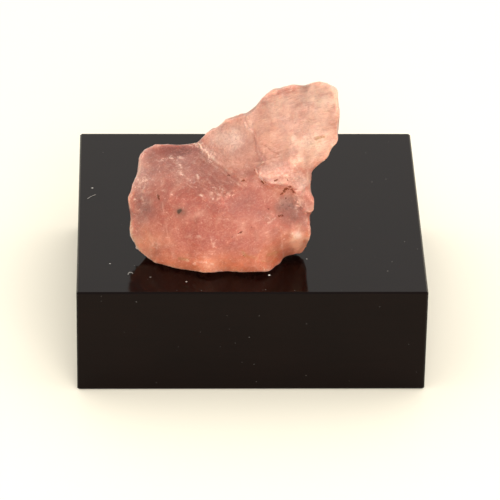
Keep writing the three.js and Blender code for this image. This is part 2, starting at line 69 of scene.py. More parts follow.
# The stone's own frame, in millimetres from a point on the block's top: across, rise and depth to the viewer
STONE_ORIGIN = np.array((-0.1, -8.9, BLOCK_TOP))
STONE_TURN = -1.9
STONE_TILT_BACK = 31.6
STONE_LEAN = 0.95
VIEWING_DISTANCE = 462.0
SEAT = BLOCK_TOP + 0.02

# Mesh
WELD = 1e-3
ROUNDS_BEFORE_SPLIT = 5
ROUNDS_AFTER_SPLIT = 3
SPLITS = 2
SMOOTHING = (0.5, -0.52)
EVENING = (0.5,)

# Steps on the front that get back their sharp edge: the outline of each, then its height on the stone,
# sharpness, lip's drop and foot's fill, at the low and at the high end
SHOULDER_EDGE = [
    (-6.5, 12.9), (-5.6, 11.5), (-4.7, 10.5), (-3.4, 9.7), (-2, 8.6), (-0.9, 7.9), (0.6, 8.4), (12, 8.4),
    (12, 21), (-6.5, 21),
]
LOBE_EDGE = [
    (0, 16.2), (-0.5, 15.4), (-0.6, 14.8), (-0.3, 14.1), (0.3, 13.8), (0.7, 13), (0.87, 11.8), (1.3, 10.8),
    (1.6, 10.2), (0.6, 9.55), (1, 8.6), (1.9, 7.6), (2.5, 7.35), (3.3, 7.5), (4.5, 7.3), (5.2, 6.9),
    (6.3, 7.1), (6.9, 7.3), (12, 8), (12, 21), (0, 21),
]
FLAKE_EDGE = [
    (5.1, 6.9), (5.1, 6.1), (5.6, 5.2), (6.1, 4.6), (6.9, 4.1), (9, 3.8), (12, 3.8), (12, 21), (5.1, 21),
]
STEPS = [
    (SHOULDER_EDGE, (8.0, 0.1, 0.0, 0.0), (12.0, 0.35, 0.0, 0.0)),
    (LOBE_EDGE, (8.4, 0.42, 0.5, 0.62), (11.5, 0.1, 0.12, 0.22)),
    (FLAKE_EDGE, (5.2, 0.6, 0.24, 0.26), (7.2, 0.0, 0.0, 0.0)),
]
STEP_REACH = 0.8
STEP_SOFT = 0.75
STEP_SHARP = 0.1
STEP_RAGGED = [(0.11, 0.7, 25), (0.05, 0.3, 26)]
# Where the steps die out: place, half width and half height
STEP_END = ((6.5, 7.3), (1.4, 0.9))
# Places built up or let down: place, half width and half height, height
SWELLS = [((6.7, 6.7), (0.9, 0.55), 0.1), ((5.2, 6.6), (0.5, 0.4), 0.18), ((7.1, 4.7), (0.9, 0.8), -0.3)]

# Places of the outline pushed before and after the faces are broken: place, half size, push across and up
PUSHES = [
    ((-13.5, 0.6), 1.1, (-0.24, -0.14)), ((-14, 4.8), 1.4, (0.14, 0)), ((6.9, 0.7), 0.9, (0.1, -0.12)),
    ((5.5, -0.3), 0.6, (0, -0.1)), ((4, -0.9), 0.7, (-0.06, 0.1)), ((7.3, 4.3), 1.2, (-0.1, 0)),
    ((10.3, 16.6), 2.4, (-0.12, -0.04)), ((-12.8, 10.2), 1.2, (0.14, -0.02)),
    ((-5.2, 13.4), 1.2, (0.06, -0.12)),
]
NUDGES = [
    ((-13.9, 1.8), 1.2, (-0.36, -0.16)), ((-14, 5.4), 1.2, (-0.13, 0)), ((-13.4, 8.2), 0.8, (-0.14, 0.03)),
    ((-11.7, 11.6), 0.8, (0.08, -0.1)), ((6, 19.2), 2.2, (0, -0.09)), ((-2, 15.4), 1, (0, -0.1)),
    ((10.3, 14.6), 1, (-0.08, 0)), ((-14.1, 6.5), 0.6, (0.1, -0.05)), ((-13.1, 0.4), 0.9, (-0.2, -0.18)),
    ((-4.8, -2.7), 1.1, (0, -0.16)), ((6.75, 0.2), 0.6, (-0.2, 0.16)), ((7, 2), 1, (0.1, 0)),
    ((-13.9, 2), 1, (-0.12, -0.03)), ((-12, -0.9), 0.8, (-0.09, -0.12)), ((-9.2, -2), 0.8, (-0.03, -0.08)),
    ((3.5, -1.5), 0.6, (0.08, -0.08)), ((9.3, 19), 0.9, (-0.05, -0.07)), ((-5.9, 12.6), 0.5, (0.06, -0.09)),
    ((-4.4, 14.1), 0.5, (-0.05, 0.08)), ((-13, 9.5), 0.7, (-0.1, 0)), ((7.35, 4.7), 0.6, (0.09, -0.03)),
    ((9.35, 11.6), 0.4, (-0.07, 0.03)), ((8.9, 10.75), 0.35, (0.05, -0.04)), ((2.6, 18.5), 0.5, (-0.06, 0.1)),
    ((-0.6, 15.9), 0.4, (0.08, -0.12)),
]

# Fracture ripples on the top face: arcs about one point, and the four radii and four directions, in degrees,
# where they begin, are full, begin to fade and end
RIPPLE_CENTRE = (-9.2, 2.2)
RIPPLE_RADII = (6.3, 7.7, 9.8, 10.4)
RIPPLE_DIRECTIONS = (16.0, 32.0, 66.0, 86.0)
RIPPLE_PITCH = 0.62
RIPPLE_HEIGHT = 0.055
RIPPLE_WANDER = [(0.45, 2.6, 21), (0.16, 0.8, 22)]
RIPPLE_STEEP = 0.18

# Wavy growth lines on the lobe
LOBE_LINES_DIRECTION = 24.0
LOBE_LINES_PITCH = 0.55
LOBE_LINES_HEIGHT = 0.028
LOBE_LINES_STRETCH = (5.0, 4.0)
LOBE_LINES = [(1.0, 1.0, 32), (0.5, 1 / 2.3, 33)]
LOBE_WAVE = (0.245, 1.7, 0.6)
LOBE_WANDER = [(0.175, 1.8, 31)]

# Cleavage: one plane's direction and a second plane's side of it, a painted sheen and shade for each of the
# eight directions that the planes face, and small terraces
CLEAVAGE_FACING = (-0.1, 0.42, -0.9)
CLEAVAGE_SIDE = (0.33, -0.47, -0.82)
CLEAVAGE_PAINTED_SHEEN = (0.1, -0.16, 0.2, -0.06, 0.04, -0.12, 0.14, -0.08)
TERRACE_RISE = 0.16
TERRACE_SHARE = 0.32
TERRACE_BLOCKS = [(3.2, 1.6), (1.3, 0.7)]
TERRACE_WANDER = 0.25

# Breaks that leave flat and dished faces: count, hollow's radius, reach, depth, how far they follow the
# cleavage, and the least and greatest part of their facing that points to the viewer
BREAKS = [
    (80, 16.0, 4.6, 0.42, 0.65, -1.0, -0.15),
    (150, 6.0, 2.2, 0.18, 0.55, -1.0, 0.05),
    (130, 5.0, 1.7, 0.13, 0.3, -0.15, 0.35),
    (70, 18.0, 3.0, 0.05, 0.2, 0.35, 1.0),
    (110, 30.0, 2.8, 0.16, 0.9, -1.0, -0.05),
]
BREAK_ROUNDS = 12
BREAK_SEED = 7
BREAK_LEAST = 0.4
BREAK_FACING = 0.3

# Relief of the broken surface: dished fractures and lumps, each with its height and size
DISHES = [(0.06, 3.4), (0.035, 1.5), (0.018, 0.75)]
LUMPS = [(0.035, 1.7, 70), (0.02, 0.7, 71), (0.012, 0.34, 72)]
DISH_WARP = 0.25
FRONT_RELIEF = 0.7
BACK_RELIEF = 0.28
FOOT_CALM = 1.2
PIT_SIZE = 0.9
PIT_DEPTH = 0.16
PIT_ZONES = [
    ((4.6, 6.6), (1.6, 1.0), 1.0), ((6.2, 5.4), (1.0, 1.0), 0.7), ((-5.0, 11.4), (1.2, 1.0), 0.5),
    ((-4.0, 6.2), (2.0, 0.5), 0.4),
]
PITS_AT_BACK = 0.25
EDGE_ROUNDS = 50
EDGE_FULL = 0.16
SHARPENING = 0.9
SHARPENING_LIMIT = 0.22
CALM_PLACE = ((6.3, 5.8), (1.6, 2.0))
GRIT_HEIGHT = 0.05
EDGE_LIGHT = 0.15
# Painted highlight along the stone's rims, where its surface turns edge-on to the viewer
RIM_LIGHT = 0.12

# The stone's colours
ROSE = (0.41, 0.105, 0.074)
SALMON = (0.46, 0.11, 0.066)
SHADE = (0.27, 0.078, 0.05)
WINE = (0.4, 0.07, 0.042)
SLATE = (0.36, 0.205, 0.17)
EMBER = (0.6, 0.13, 0.042)
ORANGE = (0.8, 0.235, 0.1)
DUSKY = (0.415, 0.15, 0.108)
GREY = (0.42, 0.2, 0.16)
PINK = (0.72, 0.32, 0.225)
PALE = (0.88, 0.545, 0.4)
CREAM = (0.98, 0.76, 0.57)
WHITE = (0.98, 0.86, 0.77)
PALER = (0.93, 0.64, 0.5)
PEACH = (0.92, 0.44, 0.26)
OCHRE = (0.37, 0.165, 0.02)
SPECK = (0.18, 0.03, 0.005)
# Painted light: the paler colour of the back, to make up for its shade
BACK = (0.9, 0.545, 0.455)
DEEP = (0.075, 0.03, 0.014)
STAIN = (0.66, 0.13, 0.025)
MILK = (0.66, 0.53, 0.455)
MURK = (0.26, 0.085, 0.065)

# Colour zones of the stone, among them painted light and shade: place, half width and half height, colour,
# share
ZONES = [
    ((-4.6, 5), (3.2, 1.3), ROSE, 0.7),
    ((-8, 4.2), (2, 1.3), ROSE, 0.45),
    ((-7, 9), (6, 2.8), DUSKY, 0.75),
    ((-8.4, 9.6), (1.8, 0.9), DUSKY, 0.62),
    ((-7.2, 11.3), (3.2, 1.1), WINE, 0.9),
    ((-3, 8.4), (2.4, 1.2), ROSE, 0.3),
    # Painted darkness of the black block seen through the clear stone at the left, and painted shade on the
    # left rim
    ((-12.2, 4.9), (1.2, 2.2), GREY, 0.75),
    ((-13.4, 4.6), (1, 2.4), SHADE, 0.95),
    ((-11.4, 8.9), (1.8, 2.2), GREY, 0.45),
    ((-2.6, 12.6), (2.4, 2), PALE, 0.62),
    ((-1.5, 14.7), (2.2, 0.9), PALE, 0.45),
    ((-2.2, 10.2), (2.2, 1.2), PINK, 0.85),
    ((-2.6, 10.7), (1.6, 0.9), PALE, 0.3),
    ((1.2, 10.6), (1.6, 1.8), PINK, 0.8),
    ((4, 14.8), (4.2, 4.2), PALE, 0.92),
    ((4.4, 14.3), (2, 1.8), PINK, 0.4),
    ((8.4, 17.7), (1.9, 1.6), CREAM, 0.75),
    ((3.8, 18.7), (3.4, 0.6), PINK, 0.6),
    ((8.6, 15.5), (2.2, 3.8), CREAM, 0.4),
    ((7.2, 12.3), (2.2, 1.4), CREAM, 0.8),
    ((5.8, 10.6), (2.4, 1.3), CREAM, 0.4),
    ((2, 12.2), (0.9, 1.1), PINK, 0.35),
    ((6.2, 7.6), (0.9, 0.7), CREAM, 0.45),
    # Painted darkness of the black block seen through the clear hollow below the ledge
    ((4.7, 4.9), (1.2, 1.6), GREY, 0.55),
    ((4.6, 4.7), (1.1, 1.3), SLATE, 0.45),
    ((4.3, 4.2), (0.7, 0.9), DUSKY, 0.6),
    ((-12.9, 9.4), (0.7, 2.2), SLATE, 0.85),
    ((-12.1, 11.1), (1.3, 0.9), GREY, 0.75),
    ((-13.7, 5.9), (0.5, 0.9), EMBER, 0.35),
    ((2, 8.8), (1.6, 0.9), CREAM, 0.14),
    ((6.3, 0.5), (0.8, 0.9), EMBER, 0.35),
    ((3, 7.95), (2.2, 0.32), WHITE, 0.28),
    ((6, 7.05), (0.9, 0.45), WHITE, 0.2),
    ((2, 2.6), (2.6, 2.2), PINK, 0.2),
    # Painted light on the lower right corner, which faces down and lies in shade below the ledge
    ((5.6, 1), (1.5, 1.3), PEACH, 0.95),
    ((5.5, 0.6), (0.9, 0.9), CREAM, 0.35),
    ((5, 1.8), (0.34, 0.45), WHITE, 0.55),
    # The foot's orange, partly its own colour and partly painted glow of light passing through the thin foot
    ((5.8, 0.2), (1.3, 0.7), ORANGE, 0.55),
    ((-5, -1.7), (9, 1.3), ORANGE, 0.75),
    ((3.2, -1.2), (2, 1.1), EMBER, 0.75),
    ((2.3, -1.5), (1.3, 0.9), SHADE, 0.28),
    # More of the foot's orange, partly painted glow of light passing through it
    ((-2, -2.1), (1.7, 0.7), ORANGE, 0.5),
    ((2.6, 0), (1.5, 0.9), OCHRE, 0.16),
    ((-11.9, 0.9), (2.4, 1.5), PEACH, 0.6),
    ((-12.2, 1.2), (1.6, 1.2), ORANGE, 0.2),
    # Painted shade on the right flank, which turns away from the light
    ((7, 2.9), (1.1, 1.7), SHADE, 1),
    ((7, 2.9), (0.9, 1.4), WINE, 0.4),
    # More painted light on the lower right corner
    ((5.6, 0.6), (0.9, 0.7), PEACH, 0.45),
    ((-3, -0.8), (1.6, 0.8), SALMON, 0.4),
    ((6.9, 5.6), (0.7, 0.7), ROSE, 0.18),
    ((7.1, 4.7), (0.5, 0.4), PALE, 0.25),
    ((4, 17.4), (1.4, 0.8), CREAM, 0.35),
    ((-2.6, 8), (1.2, 0.8), PINK, 0.14),
    ((-1, 9.6), (0.9, 0.7), PALE, 0.15),
    ((-2.2, 12.6), (1.6, 1.2), MILK, 0.45),
    # Painted light in the dip at the lobe's top edge, to lift its shade
    ((6.7, 18.6), (0.8, 0.6), CREAM, 0.55),
    ((6.3, 17.3), (0.9, 1.2), MILK, 0.3),
    ((2.6, 16.3), (1.2, 0.5), CREAM, 0.35),
    ((3.5, 8.7), (2, 0.9), PINK, 0.14),
    ((-8, 9.6), (1.4, 0.9), SHADE, 0.16),
    ((-12.9, 11), (0.8, 0.8), SLATE, 0.4),
    ((4.5, 14.5), (1.3, 1.2), MILK, 0.3),
]
# How far the back is painted paler, to make up for its shade
BACK_PAINTED_LIGHT_SHARE = 0.85

# Patches with a crisp, ragged border: the granular ledge below the lobe, the flake and the shaded wedge
# beside the lobe, each with its colour, share and graininess
LEDGE = [
    (0.5, 9.3), (1.4, 7.7), (3.1, 7.75), (3.8, 7.3), (4.6, 7.3), (5.4, 6.8), (6.6, 7.1), (6.9, 7.6),
    (6.4, 8.4), (5.4, 9.6), (4.2, 10.2), (3.1, 10.4), (1.8, 9.95),
]
FLAKE = [
    (4.95, 5.9), (5.43, 5.35), (5.89, 4.8), (6.58, 4.2), (7.3, 4.3), (8.2, 5.2), (8, 6.2), (7.4, 7),
    (6.2, 6.9), (5.5, 6.5),
]
WEDGE = [
    (0.42, 13.75), (0.7, 13), (1.05, 12.2), (1.35, 11.5), (1.45, 11), (1.75, 10.85), (2.5, 10.25),
    (1.7, 10.15), (1.05, 10.35), (0.85, 11.2), (0.7, 12.2),
]
PATCHES = [(LEDGE, PALER, 0.03, 0.8), (FLAKE, PALE, 0.06, 0.4), (WEDGE, ROSE, 0.32, 0.3)]

# Where the stone is clear, and where it is bruised and frosted: place, half width and half height, share
CLEAR_ZONES = [
    ((-12.2, 4.9), (1.1, 1.9), 0.36), ((4.6, 4.9), (0.9, 1.4), 0.42), ((-7.6, 11.4), (2.6, 0.9), 0.35),
    ((-3, 8.4), (2.6, 1.2), 0.1), ((5, 16), (5, 3), 0.2),
]
FROST_ZONES = [
    ((-2.4, 12.8), (2.2, 1.8), 0.8), ((-3.8, 6.3), (1.5, 0.4), 0.5), ((-5.3, 11.5), (0.8, 0.7), 1.1),
    ((-4.3, 10.6), (0.6, 0.5), 0.9), ((-8.4, 10.4), (1.6, 0.6), 0.22), ((-12.5, 8.2), (1.2, 2), 0.55),
    ((-12.8, 4), (0.9, 1.9), 0.28), ((7, 12.2), (2, 1.6), 0.6), ((4, 8.6), (2.2, 0.9), 0.6),
    ((4.7, 4.9), (1.2, 1.6), 0.12), ((5, 1.8), (0.5, 0.6), 0.8), ((6.2, 5.6), (0.9, 0.9), 0.6),
    ((-4.5, -0.6), (3, 0.7), 0.2), ((0, 14.6), (0.5, 1.1), 0.9), ((4.5, 15.5), (4, 2.6), 0.4),
]
BRUISE_SHARE = 0.55

# Brown iron specks, stains and dark inclusions below the skin: across, rise, radius, share
SPECKS = [
    (0.5, 9.25, 0.15, 0.8), (-0.8, 8.05, 0.27, 1), (-2.35, 8.65, 0.15, 0.8), (1.55, 7.7, 0.2, 0.9),
    (3.1, 8.05, 0.11, 0.6), (4.3, 8.05, 0.1, 0.6), (3.7, 6.45, 0.11, 0.7), (4.15, 5.9, 0.12, 0.8),
    (2, 5.8, 0.13, 0.7), (2.1, 4.8, 0.12, 0.6), (3.35, 3.85, 0.11, 0.6), (3.75, 3.85, 0.11, 0.6),
    (-1.1, 2.1, 0.13, 0.6), (-2.15, 1.5, 0.12, 0.5), (-0.7, -0.6, 0.15, 0.6), (-3.4, -1.75, 0.12, 0.6),
    (0.2, 2.6, 0.12, 0.4),
]
STAIN_SPOTS = [
    (6.3, 1.15, 0.26, 0.9), (6.15, 1.9, 0.22, 0.5), (-0.55, -0.75, 0.35, 0.5), (2.6, -1.6, 0.6, 0.5),
    (-6.4, -1.7, 0.5, 0.4),
]
INCLUSIONS = [
    (-8.12, 4.4, 0.2, 0.8), (-7.9, 4.52, 0.15, 0.7), (-8.16, 4.2, 0.14, 0.55), (-7.95, 4.36, 0.75, 0.5),
    (-7.5, 4.2, 0.3, 0.18), (-6.15, 3.55, 0.36, 0.26), (-6.1, 3.1, 0.25, 0.16),
]

# Lines on the stone, each its points, half width and share: brown and ochre ones of iron, bright veins of
# crumbs along scratches and healed cracks, pale hairlines and traces of inner planes, and creases darkened
# with painted shade
SPECK_LINES = [
    ([(3.58, 6.5), (3.8, 6.7)], 0.15, 0.95), ([(3.8, 6.7), (4.04, 7.04)], 0.19, 1),
    ([(4.04, 7.04), (4.39, 7.28)], 0.17, 1), ([(4.39, 7.28), (4.62, 7.24)], 0.2, 1),
    ([(4.78, 7.12), (5.02, 6.8)], 0.15, 0.95), ([(5.02, 6.8), (5.25, 6.6)], 0.08, 0.7),
    ([(-10.54, 6.2), (-10.48, 5.95)], 0.13, 1), ([(1.35, 7.8), (1.75, 7.72)], 0.12, 0.85),
    ([(3, 8), (3.25, 8.15)], 0.09, 0.7), ([(3.4, 3.85), (3.85, 3.92)], 0.09, 0.8),
    ([(-1.35, 1.98), (-0.95, 2.15)], 0.08, 0.7), ([(2.95, 8), (3.1, 8.1)], 0.1, 0.7),
]
OCHRE_LINES = [
    ([(7.65, 12.78), (8.6, 13.02)], 0.15, 1), ([(7.75, 12.66), (8.3, 12.76)], 0.08, 0.8),
    ([(7, 12.22), (8.3, 12.42)], 0.07, 0.6), ([(5.9, 14.62), (7.1, 14.75)], 0.07, 0.6),
    ([(6.4, 14.95), (7.6, 15.1)], 0.06, 0.4), ([(7.75, 15.92), (9.1, 16.05)], 0.08, 0.5),
    ([(8.2, 13.8), (9.3, 14.1)], 0.06, 0.35), ([(5.2, 16.9), (6.1, 17.15)], 0.06, 0.3),
    ([(-8.2, -0.9), (-7.1, -1.1)], 0.13, 0.7), ([(-0.8, -0.16), (-0.55, -0.66)], 0.16, 0.7),
    ([(2.35, 8.8), (2.95, 9.1)], 0.14, 0.3), ([(5.6, 18.62), (6.9, 18.95)], 0.14, 0.35),
    ([(9.2, 14.6), (9.7, 14.5)], 0.1, 0.35), ([(-0.5, -0.6), (0.7, -0.95)], 0.3, 0.3),
    ([(2, -0.6), (3.2, -0.2)], 0.16, 0.45), ([(1.4, -1.2), (2.6, -1.4)], 0.1, 0.4),
]
VEINS = [
    ([(-6.6, 12.45), (-6.1, 11.96), (-5.45, 11.6), (-4.95, 11.3), (-4.75, 10.8), (-4.62, 10.2)], 0.1, 1),
    ([(-6.1, 12.35), (-5.6, 11.9), (-5.1, 11.45), (-4.5, 10.95), (-4.1, 10.55)], 0.11, 1),
    ([(-5.7, 12.2), (-5.2, 12), (-4.6, 11.4), (-3.95, 11.05)], 0.08, 0.7),
    ([(-6.9, 12), (-6.5, 11.9)], 0.1, 0.7), ([(-4.1, 10.55), (-3.9, 10.2), (-3.4, 10)], 0.07, 0.5),
    ([(-7.6, 12.3), (-7.1, 12.25)], 0.08, 0.5),
    ([(-10.7, 10.4), (-9.7, 10.5), (-8.9, 10.8), (-7.6, 10.56), (-7.4, 10.2)], 0.09, 0.75),
    ([(-9.3, 10.9), (-8.3, 10.2), (-7.9, 10.5)], 0.07, 0.6),
    ([(-8.1, 9.75), (-7.85, 9.1), (-7.75, 8.5)], 0.13, 0.8), ([(-6.2, 8.6), (-5.85, 8.25)], 0.11, 0.9),
    ([(-7.3, 8.4), (-6.6, 7.75), (-5.6, 6.8)], 0.08, 0.5),
    ([(-8.6, 9.2), (-8, 8.2), (-7.5, 7.7)], 0.07, 0.35), ([(-5.7, 6.5), (-5.4, 6.3)], 0.12, 0.7),
    ([(-4.35, 6.65), (-3.8, 6.4), (-3.3, 6.25)], 0.12, 0.8),
    ([(-4.2, 5.9), (-3.1, 6), (-2.3, 6.35), (-1.9, 6.45)], 0.09, 0.7),
    ([(-4.6, 7.4), (-3.4, 6.85), (-2.3, 6.4)], 0.07, 0.6),
    ([(-3.6, 7.1), (-2.9, 6.8), (-2.2, 6.45)], 0.07, 0.5),
    ([(-2.2, 6.4), (-1.4, 6.8), (-0.7, 7.4), (-0.3, 7.75)], 0.07, 0.45),
    ([(-9.3, 6.45), (-8.9, 6.35)], 0.1, 0.5),
    ([(0, 16.05), (-0.4, 15.4), (-0.5, 14.9), (-0.45, 14.4), (-0.1, 14), (0.25, 13.8)], 0.08, 0.62),
    ([(-13.3, 5.75), (-13.1, 5.8)], 0.13, 0.9), ([(-13.2, 9.2), (-12.8, 8.1), (-13, 7.2)], 0.12, 0.6),
    ([(-12.3, 8.6), (-12, 7.6), (-12.3, 6.9)], 0.1, 0.5),
    ([(-12.7, 6.4), (-12.2, 5.9), (-12.3, 5.2)], 0.08, 0.5), ([(-12.9, 3.4), (-12.5, 2.9)], 0.1, 0.4),
    ([(-12.4, 0.9), (-11.4, 0.7), (-10.6, 0.2)], 0.08, 0.5),
    ([(-6.9, 1.5), (-6, 1.6), (-5.4, 1.2), (-5.1, 0.5)], 0.09, 0.3),
    ([(-4.5, 1.4), (-4.1, 0.9), (-4.2, 0.2)], 0.1, 0.5), ([(-3.9, 1.2), (-4.3, 0.6)], 0.09, 0.6),
    ([(-1.3, 4.2), (-1.1, 4.4)], 0.13, 0.6), ([(-5.3, 3.5), (-4.5, 3.7)], 0.08, 0.4),
    ([(-7.4, -1.2), (-6.2, -1.5), (-4.8, -1.3), (-4.2, -1.6)], 0.1, 0.55),
    ([(-2.9, -1), (-1.4, -1.3)], 0.09, 0.35), ([(5.2, 4.85), (5.35, 4.55)], 0.13, 0.6),
    ([(4.95, 2.1), (5.05, 1.6)], 0.15, 0.8), ([(5, 5.9), (5.5, 5.45), (6, 4.9)], 0.07, 0.6),
    ([(5.3, 6), (5.8, 5.5), (6.2, 5)], 0.07, 0.55), ([(5.6, 6.1), (6.1, 5.6), (6.5, 5)], 0.07, 0.45),
    ([(5.5, 5.2), (6, 4.6), (6.6, 4.15)], 0.07, 0.8), ([(5, 6.5), (5.6, 6.3)], 0.1, 0.6),
    ([(2, 3.1), (3.6, 4.4)], 0.07, 0.35),
]
HAIRLINES = [
    ([(1.9, 2.9), (2.9, 3.7), (3.7, 4.7)], 0.08, 0.35), ([(0.6, 1.4), (3.2, 2.6)], 0.08, 0.28),
    ([(-10.1, 5.6), (-9.6, 2.2)], 0.09, 0.3), ([(-9.6, 2.2), (-8.9, -0.6)], 0.09, 0.25),
    ([(3.6, 2.6), (3.7, 0.6), (3.9, -0.9)], 0.09, 0.4), ([(-6, 11), (-3.4, 9.3), (-1, 7.3)], 0.08, 0.35),
    ([(-9, 9.6), (-6.2, 7.6), (-4.2, 6.4)], 0.08, 0.3), ([(-5, 9), (-2.6, 7)], 0.07, 0.3),
    ([(-11.6, 1.2), (-8, -0.4), (-4.8, -0.9)], 0.1, 0.3), ([(-3.6, 3.6), (-0.4, 3)], 0.08, 0.2),
    ([(6.2, 4.85), (6.85, 4.38)], 0.1, 0.7), ([(6.85, 4.38), (7.6, 4.6)], 0.1, 0.6),
    ([(6.55, 8.95), (6.72, 7.95)], 0.08, 0.8), ([(0.35, 9.95), (2, 10.3)], 0.09, 0.75),
    ([(2, 10.3), (3.5, 10.65)], 0.09, 0.6), ([(1.65, 11.8), (1.55, 10.9)], 0.09, 0.7),
    ([(1.4, 14.2), (3.4, 15.2)], 0.09, 0.3), ([(4.4, 12.6), (6.6, 13.6)], 0.09, 0.3),
    ([(5, 16.8), (7.4, 17.6)], 0.09, 0.25),
]
CREASE_PAINTED_SHADE = [
    ([(0.42, 13.65), (0.74, 12.3)], 0.13, 0.5), ([(0.74, 12.3), (0.86, 11.2)], 0.13, 0.45),
    ([(0.86, 11.2), (1.15, 10.45)], 0.14, 0.4), ([(1.25, 11.3), (1.7, 10.9)], 0.12, 0.4),
    ([(5.15, 5.6), (5.75, 4.9), (6.35, 4.38)], 0.12, 0.5), ([(2.2, 11.65), (3.4, 10.95)], 0.12, 0.65),
    ([(1.75, 12), (2.3, 11.6)], 0.1, 0.5), ([(3.4, 18.1), (5.2, 18.6)], 0.3, 0.45),
    ([(8, 17.9), (9.5, 18.1)], 0.16, 0.4), ([(-1.6, 10.6), (0.9, 10.15)], 0.22, 0.35),
    ([(0.3, 10.8), (1.6, 9.9)], 0.2, 0.35), ([(5.2, 5.95), (6.05, 4.95)], 0.06, 0.6),
    ([(5.5, 6.05), (6.3, 5.1)], 0.06, 0.5), ([(-6, 11.2), (-3.4, 9.6)], 0.22, 0.35),
    ([(-3.8, 9.2), (-1.2, 7.5)], 0.3, 0.35),
]

# A vein or a speck is stored as a number that falls off around it, from which the material cuts its edge: the
# reach beyond its width, then each kind's least number and how much wider it is than drawn
MARK_REACH = 0.26
VEIN_MARK = (0.55, 1.2)
SPECK_MARK = (0.6, 1.3)

# How far zones and lines wander from where they are drawn
ZONE_WANDER = 0.6
LINE_WANDER = 0.12
# The hollow top face, whose streaks run their own way: place, half width and half height
TOP_FACE = ((-5.0, 9.4), (6.0, 3.2))

# The stone's material
STONE_IOR = 1.434
SUBSURFACE_RADIUS = (1.0, 0.42, 0.3)
SUBSURFACE_SCALE = 2.4
ABSORPTION_COLOUR = (0.92, 0.5, 0.38, 1.0)
ABSORPTION_DENSITY = 70.0
# Streaks: direction in degrees, then a unit's length, width and depth
BODY_STREAKS = (34, 1.0, 0.34, 0.6)
TOP_STREAKS = (-36, 2.4, 0.3, 1.0)
LOBE_STREAKS = (21, 1.0, 0.22, 0.8)
FINE_STREAKS = (17, 0.85, 0.13, 0.5)
NEEDLES = [(28, 0.62, 0.11, 0.5), (76, 0.5, 0.11, 0.5), (-38, 0.75, 0.1, 0.5)]
# Each noise darkens and then lightens the stone: where that starts, where it is full, its share and colour
TONES = {
    "cloud": [(0.52, 0.3, 0.24, ROSE), (0.52, 0.74, 0.16, PALE)],
    "mottle": [(0.5, 0.3, 0.26, ROSE), (0.54, 0.74, 0.24, PALE)],
    "lines": [(0.49, 0.28, 0.4, ROSE), (0.53, 0.72, 0.4, PALE)],
    "fine": [(0.46, 0.32, 0.45, DUSKY), (0.54, 0.7, 0.65, PALER)],
    "grain": [(0.48, 0.3, 0.26, ROSE), (0.54, 0.72, 0.26, PALER)],
    "sand": [(0.48, 0.37, 0.5, ROSE), (0.55, 0.66, 0.42, PALER)],
}

# The block's material
BLOCK_IOR = 1.21
BLOCK_BLACKS = [(0.0018, 0.0004, 0.0003), (0.0046, 0.0018, 0.0014), (0.0042, 0.0012, 0.0008)]
BLOCK_SPECK = (0.62, 0.56, 0.5)
BLOCK_SPECULAR = (1.0, 0.93, 0.9, 1.0)

# Dust on the block: flecks on its top (across, back, size) and its front (across, up, size), and two fibres
TOP_FLECKS = [
    (-18.4, 5.1, 0.22), (-16.2, -11.9, 0.17), (-11.6, -14.8, 0.15), (-7.5, -15.8, 0.2), (2, -14.4, 0.28),
    (6.4, -10.9, 0.17), (14.4, 13.4, 0.1), (14.8, 6.5, 0.11), (16.5, 7.2, 0.11), (17.9, -7.1, 0.12),
    (11.7, -8.9, 0.1), (16.2, -11.5, 0.11), (15.6, -13.5, 0.12), (19.3, -8.7, 0.1), (-8.6, -17.6, 0.09),
    (-5.8, -17.7, 0.1), (1.5, -17.5, 0.11), (4.8, -17.7, 0.1), (10.1, -17.7, 0.08), (-13.4, -12.3, 0.09),
    (13.1, 2.3, 0.08), (-17.2, 13.5, 0.09), (9.6, 15.2, 0.09), (-3.1, 16.4, 0.08), (17.3, 16, 0.08),
    (-6.7, 8.8, 0.08), (-14.9, -3.3, 0.08),
]
FRONT_FLECKS = [
    (-13.2, 12, 0.13), (-17.2, 12.1, 0.09), (0.8, 10.1, 0.11), (-0.3, 7.2, 0.14), (-2.6, 8.3, 0.09),
    (-1.9, 6.4, 0.09), (-3.6, 5.9, 0.08), (-5.9, 7.9, 0.08), (-14.6, 7.9, 0.09), (-8.4, 5.9, 0.08),
    (14.5, 11.3, 0.1), (6.2, 9, 0.09), (18, 6.2, 0.09), (19, 2.4, 0.09), (11.3, 1.2, 0.08), (0.6, 1.1, 0.1),
    (-10.9, 1, 0.08), (-1.1, 3.8, 0.08), (0.3, 3.5, 0.08),
]
FLECK_SIDES = 7
FIBRES = [
    [(-14.15, -14.35, 0.04), (-14.12, -14.08, 0.08), (-13.92, -13.9, 0.12), (-13.7, -13.92, 0.08),
     (-13.6, -14.12, 0.04)],
    [(-18.95, 2.6, 0.04), (-18.5, 3.15, 0.05), (-18, 3.55, 0.04)],
]
FIBRE_RADIUS = 0.028
FIBRE_STEPS = 5
FIBRE_SIDES = 5
DUST_DARK = (0.015, 0.012, 0.011)
DUST_PALE = (0.86, 0.82, 0.76)
DUST_BROWN = (0.25, 0.2, 0.16)


def stone_axes():
    """The stone frame's across, rise and depth directions, as the columns of a matrix."""
    turn = Matrix.Rotation(math.radians(STONE_TURN), 3, "Z")
    tilt = Matrix.Rotation(math.radians(90 - STONE_TILT_BACK), 3, "X")
    lean = Matrix.Rotation(math.radians(STONE_LEAN), 3, "Z")
    return np.array(turn @ tilt @ lean)


# Noise


def smoothstep(t, low=0.0, high=1.0):
    """0 at the low number and 1 at the high one, whichever of them is greater."""
    t = np.clip((t - low) / (high - low), 0, 1)
    return t * t * (3 - 2 * t)


def lifted(least, t):
    """Runs from the least number to 1 while t runs from 0 to 1."""
    return least + (1 - least) * t


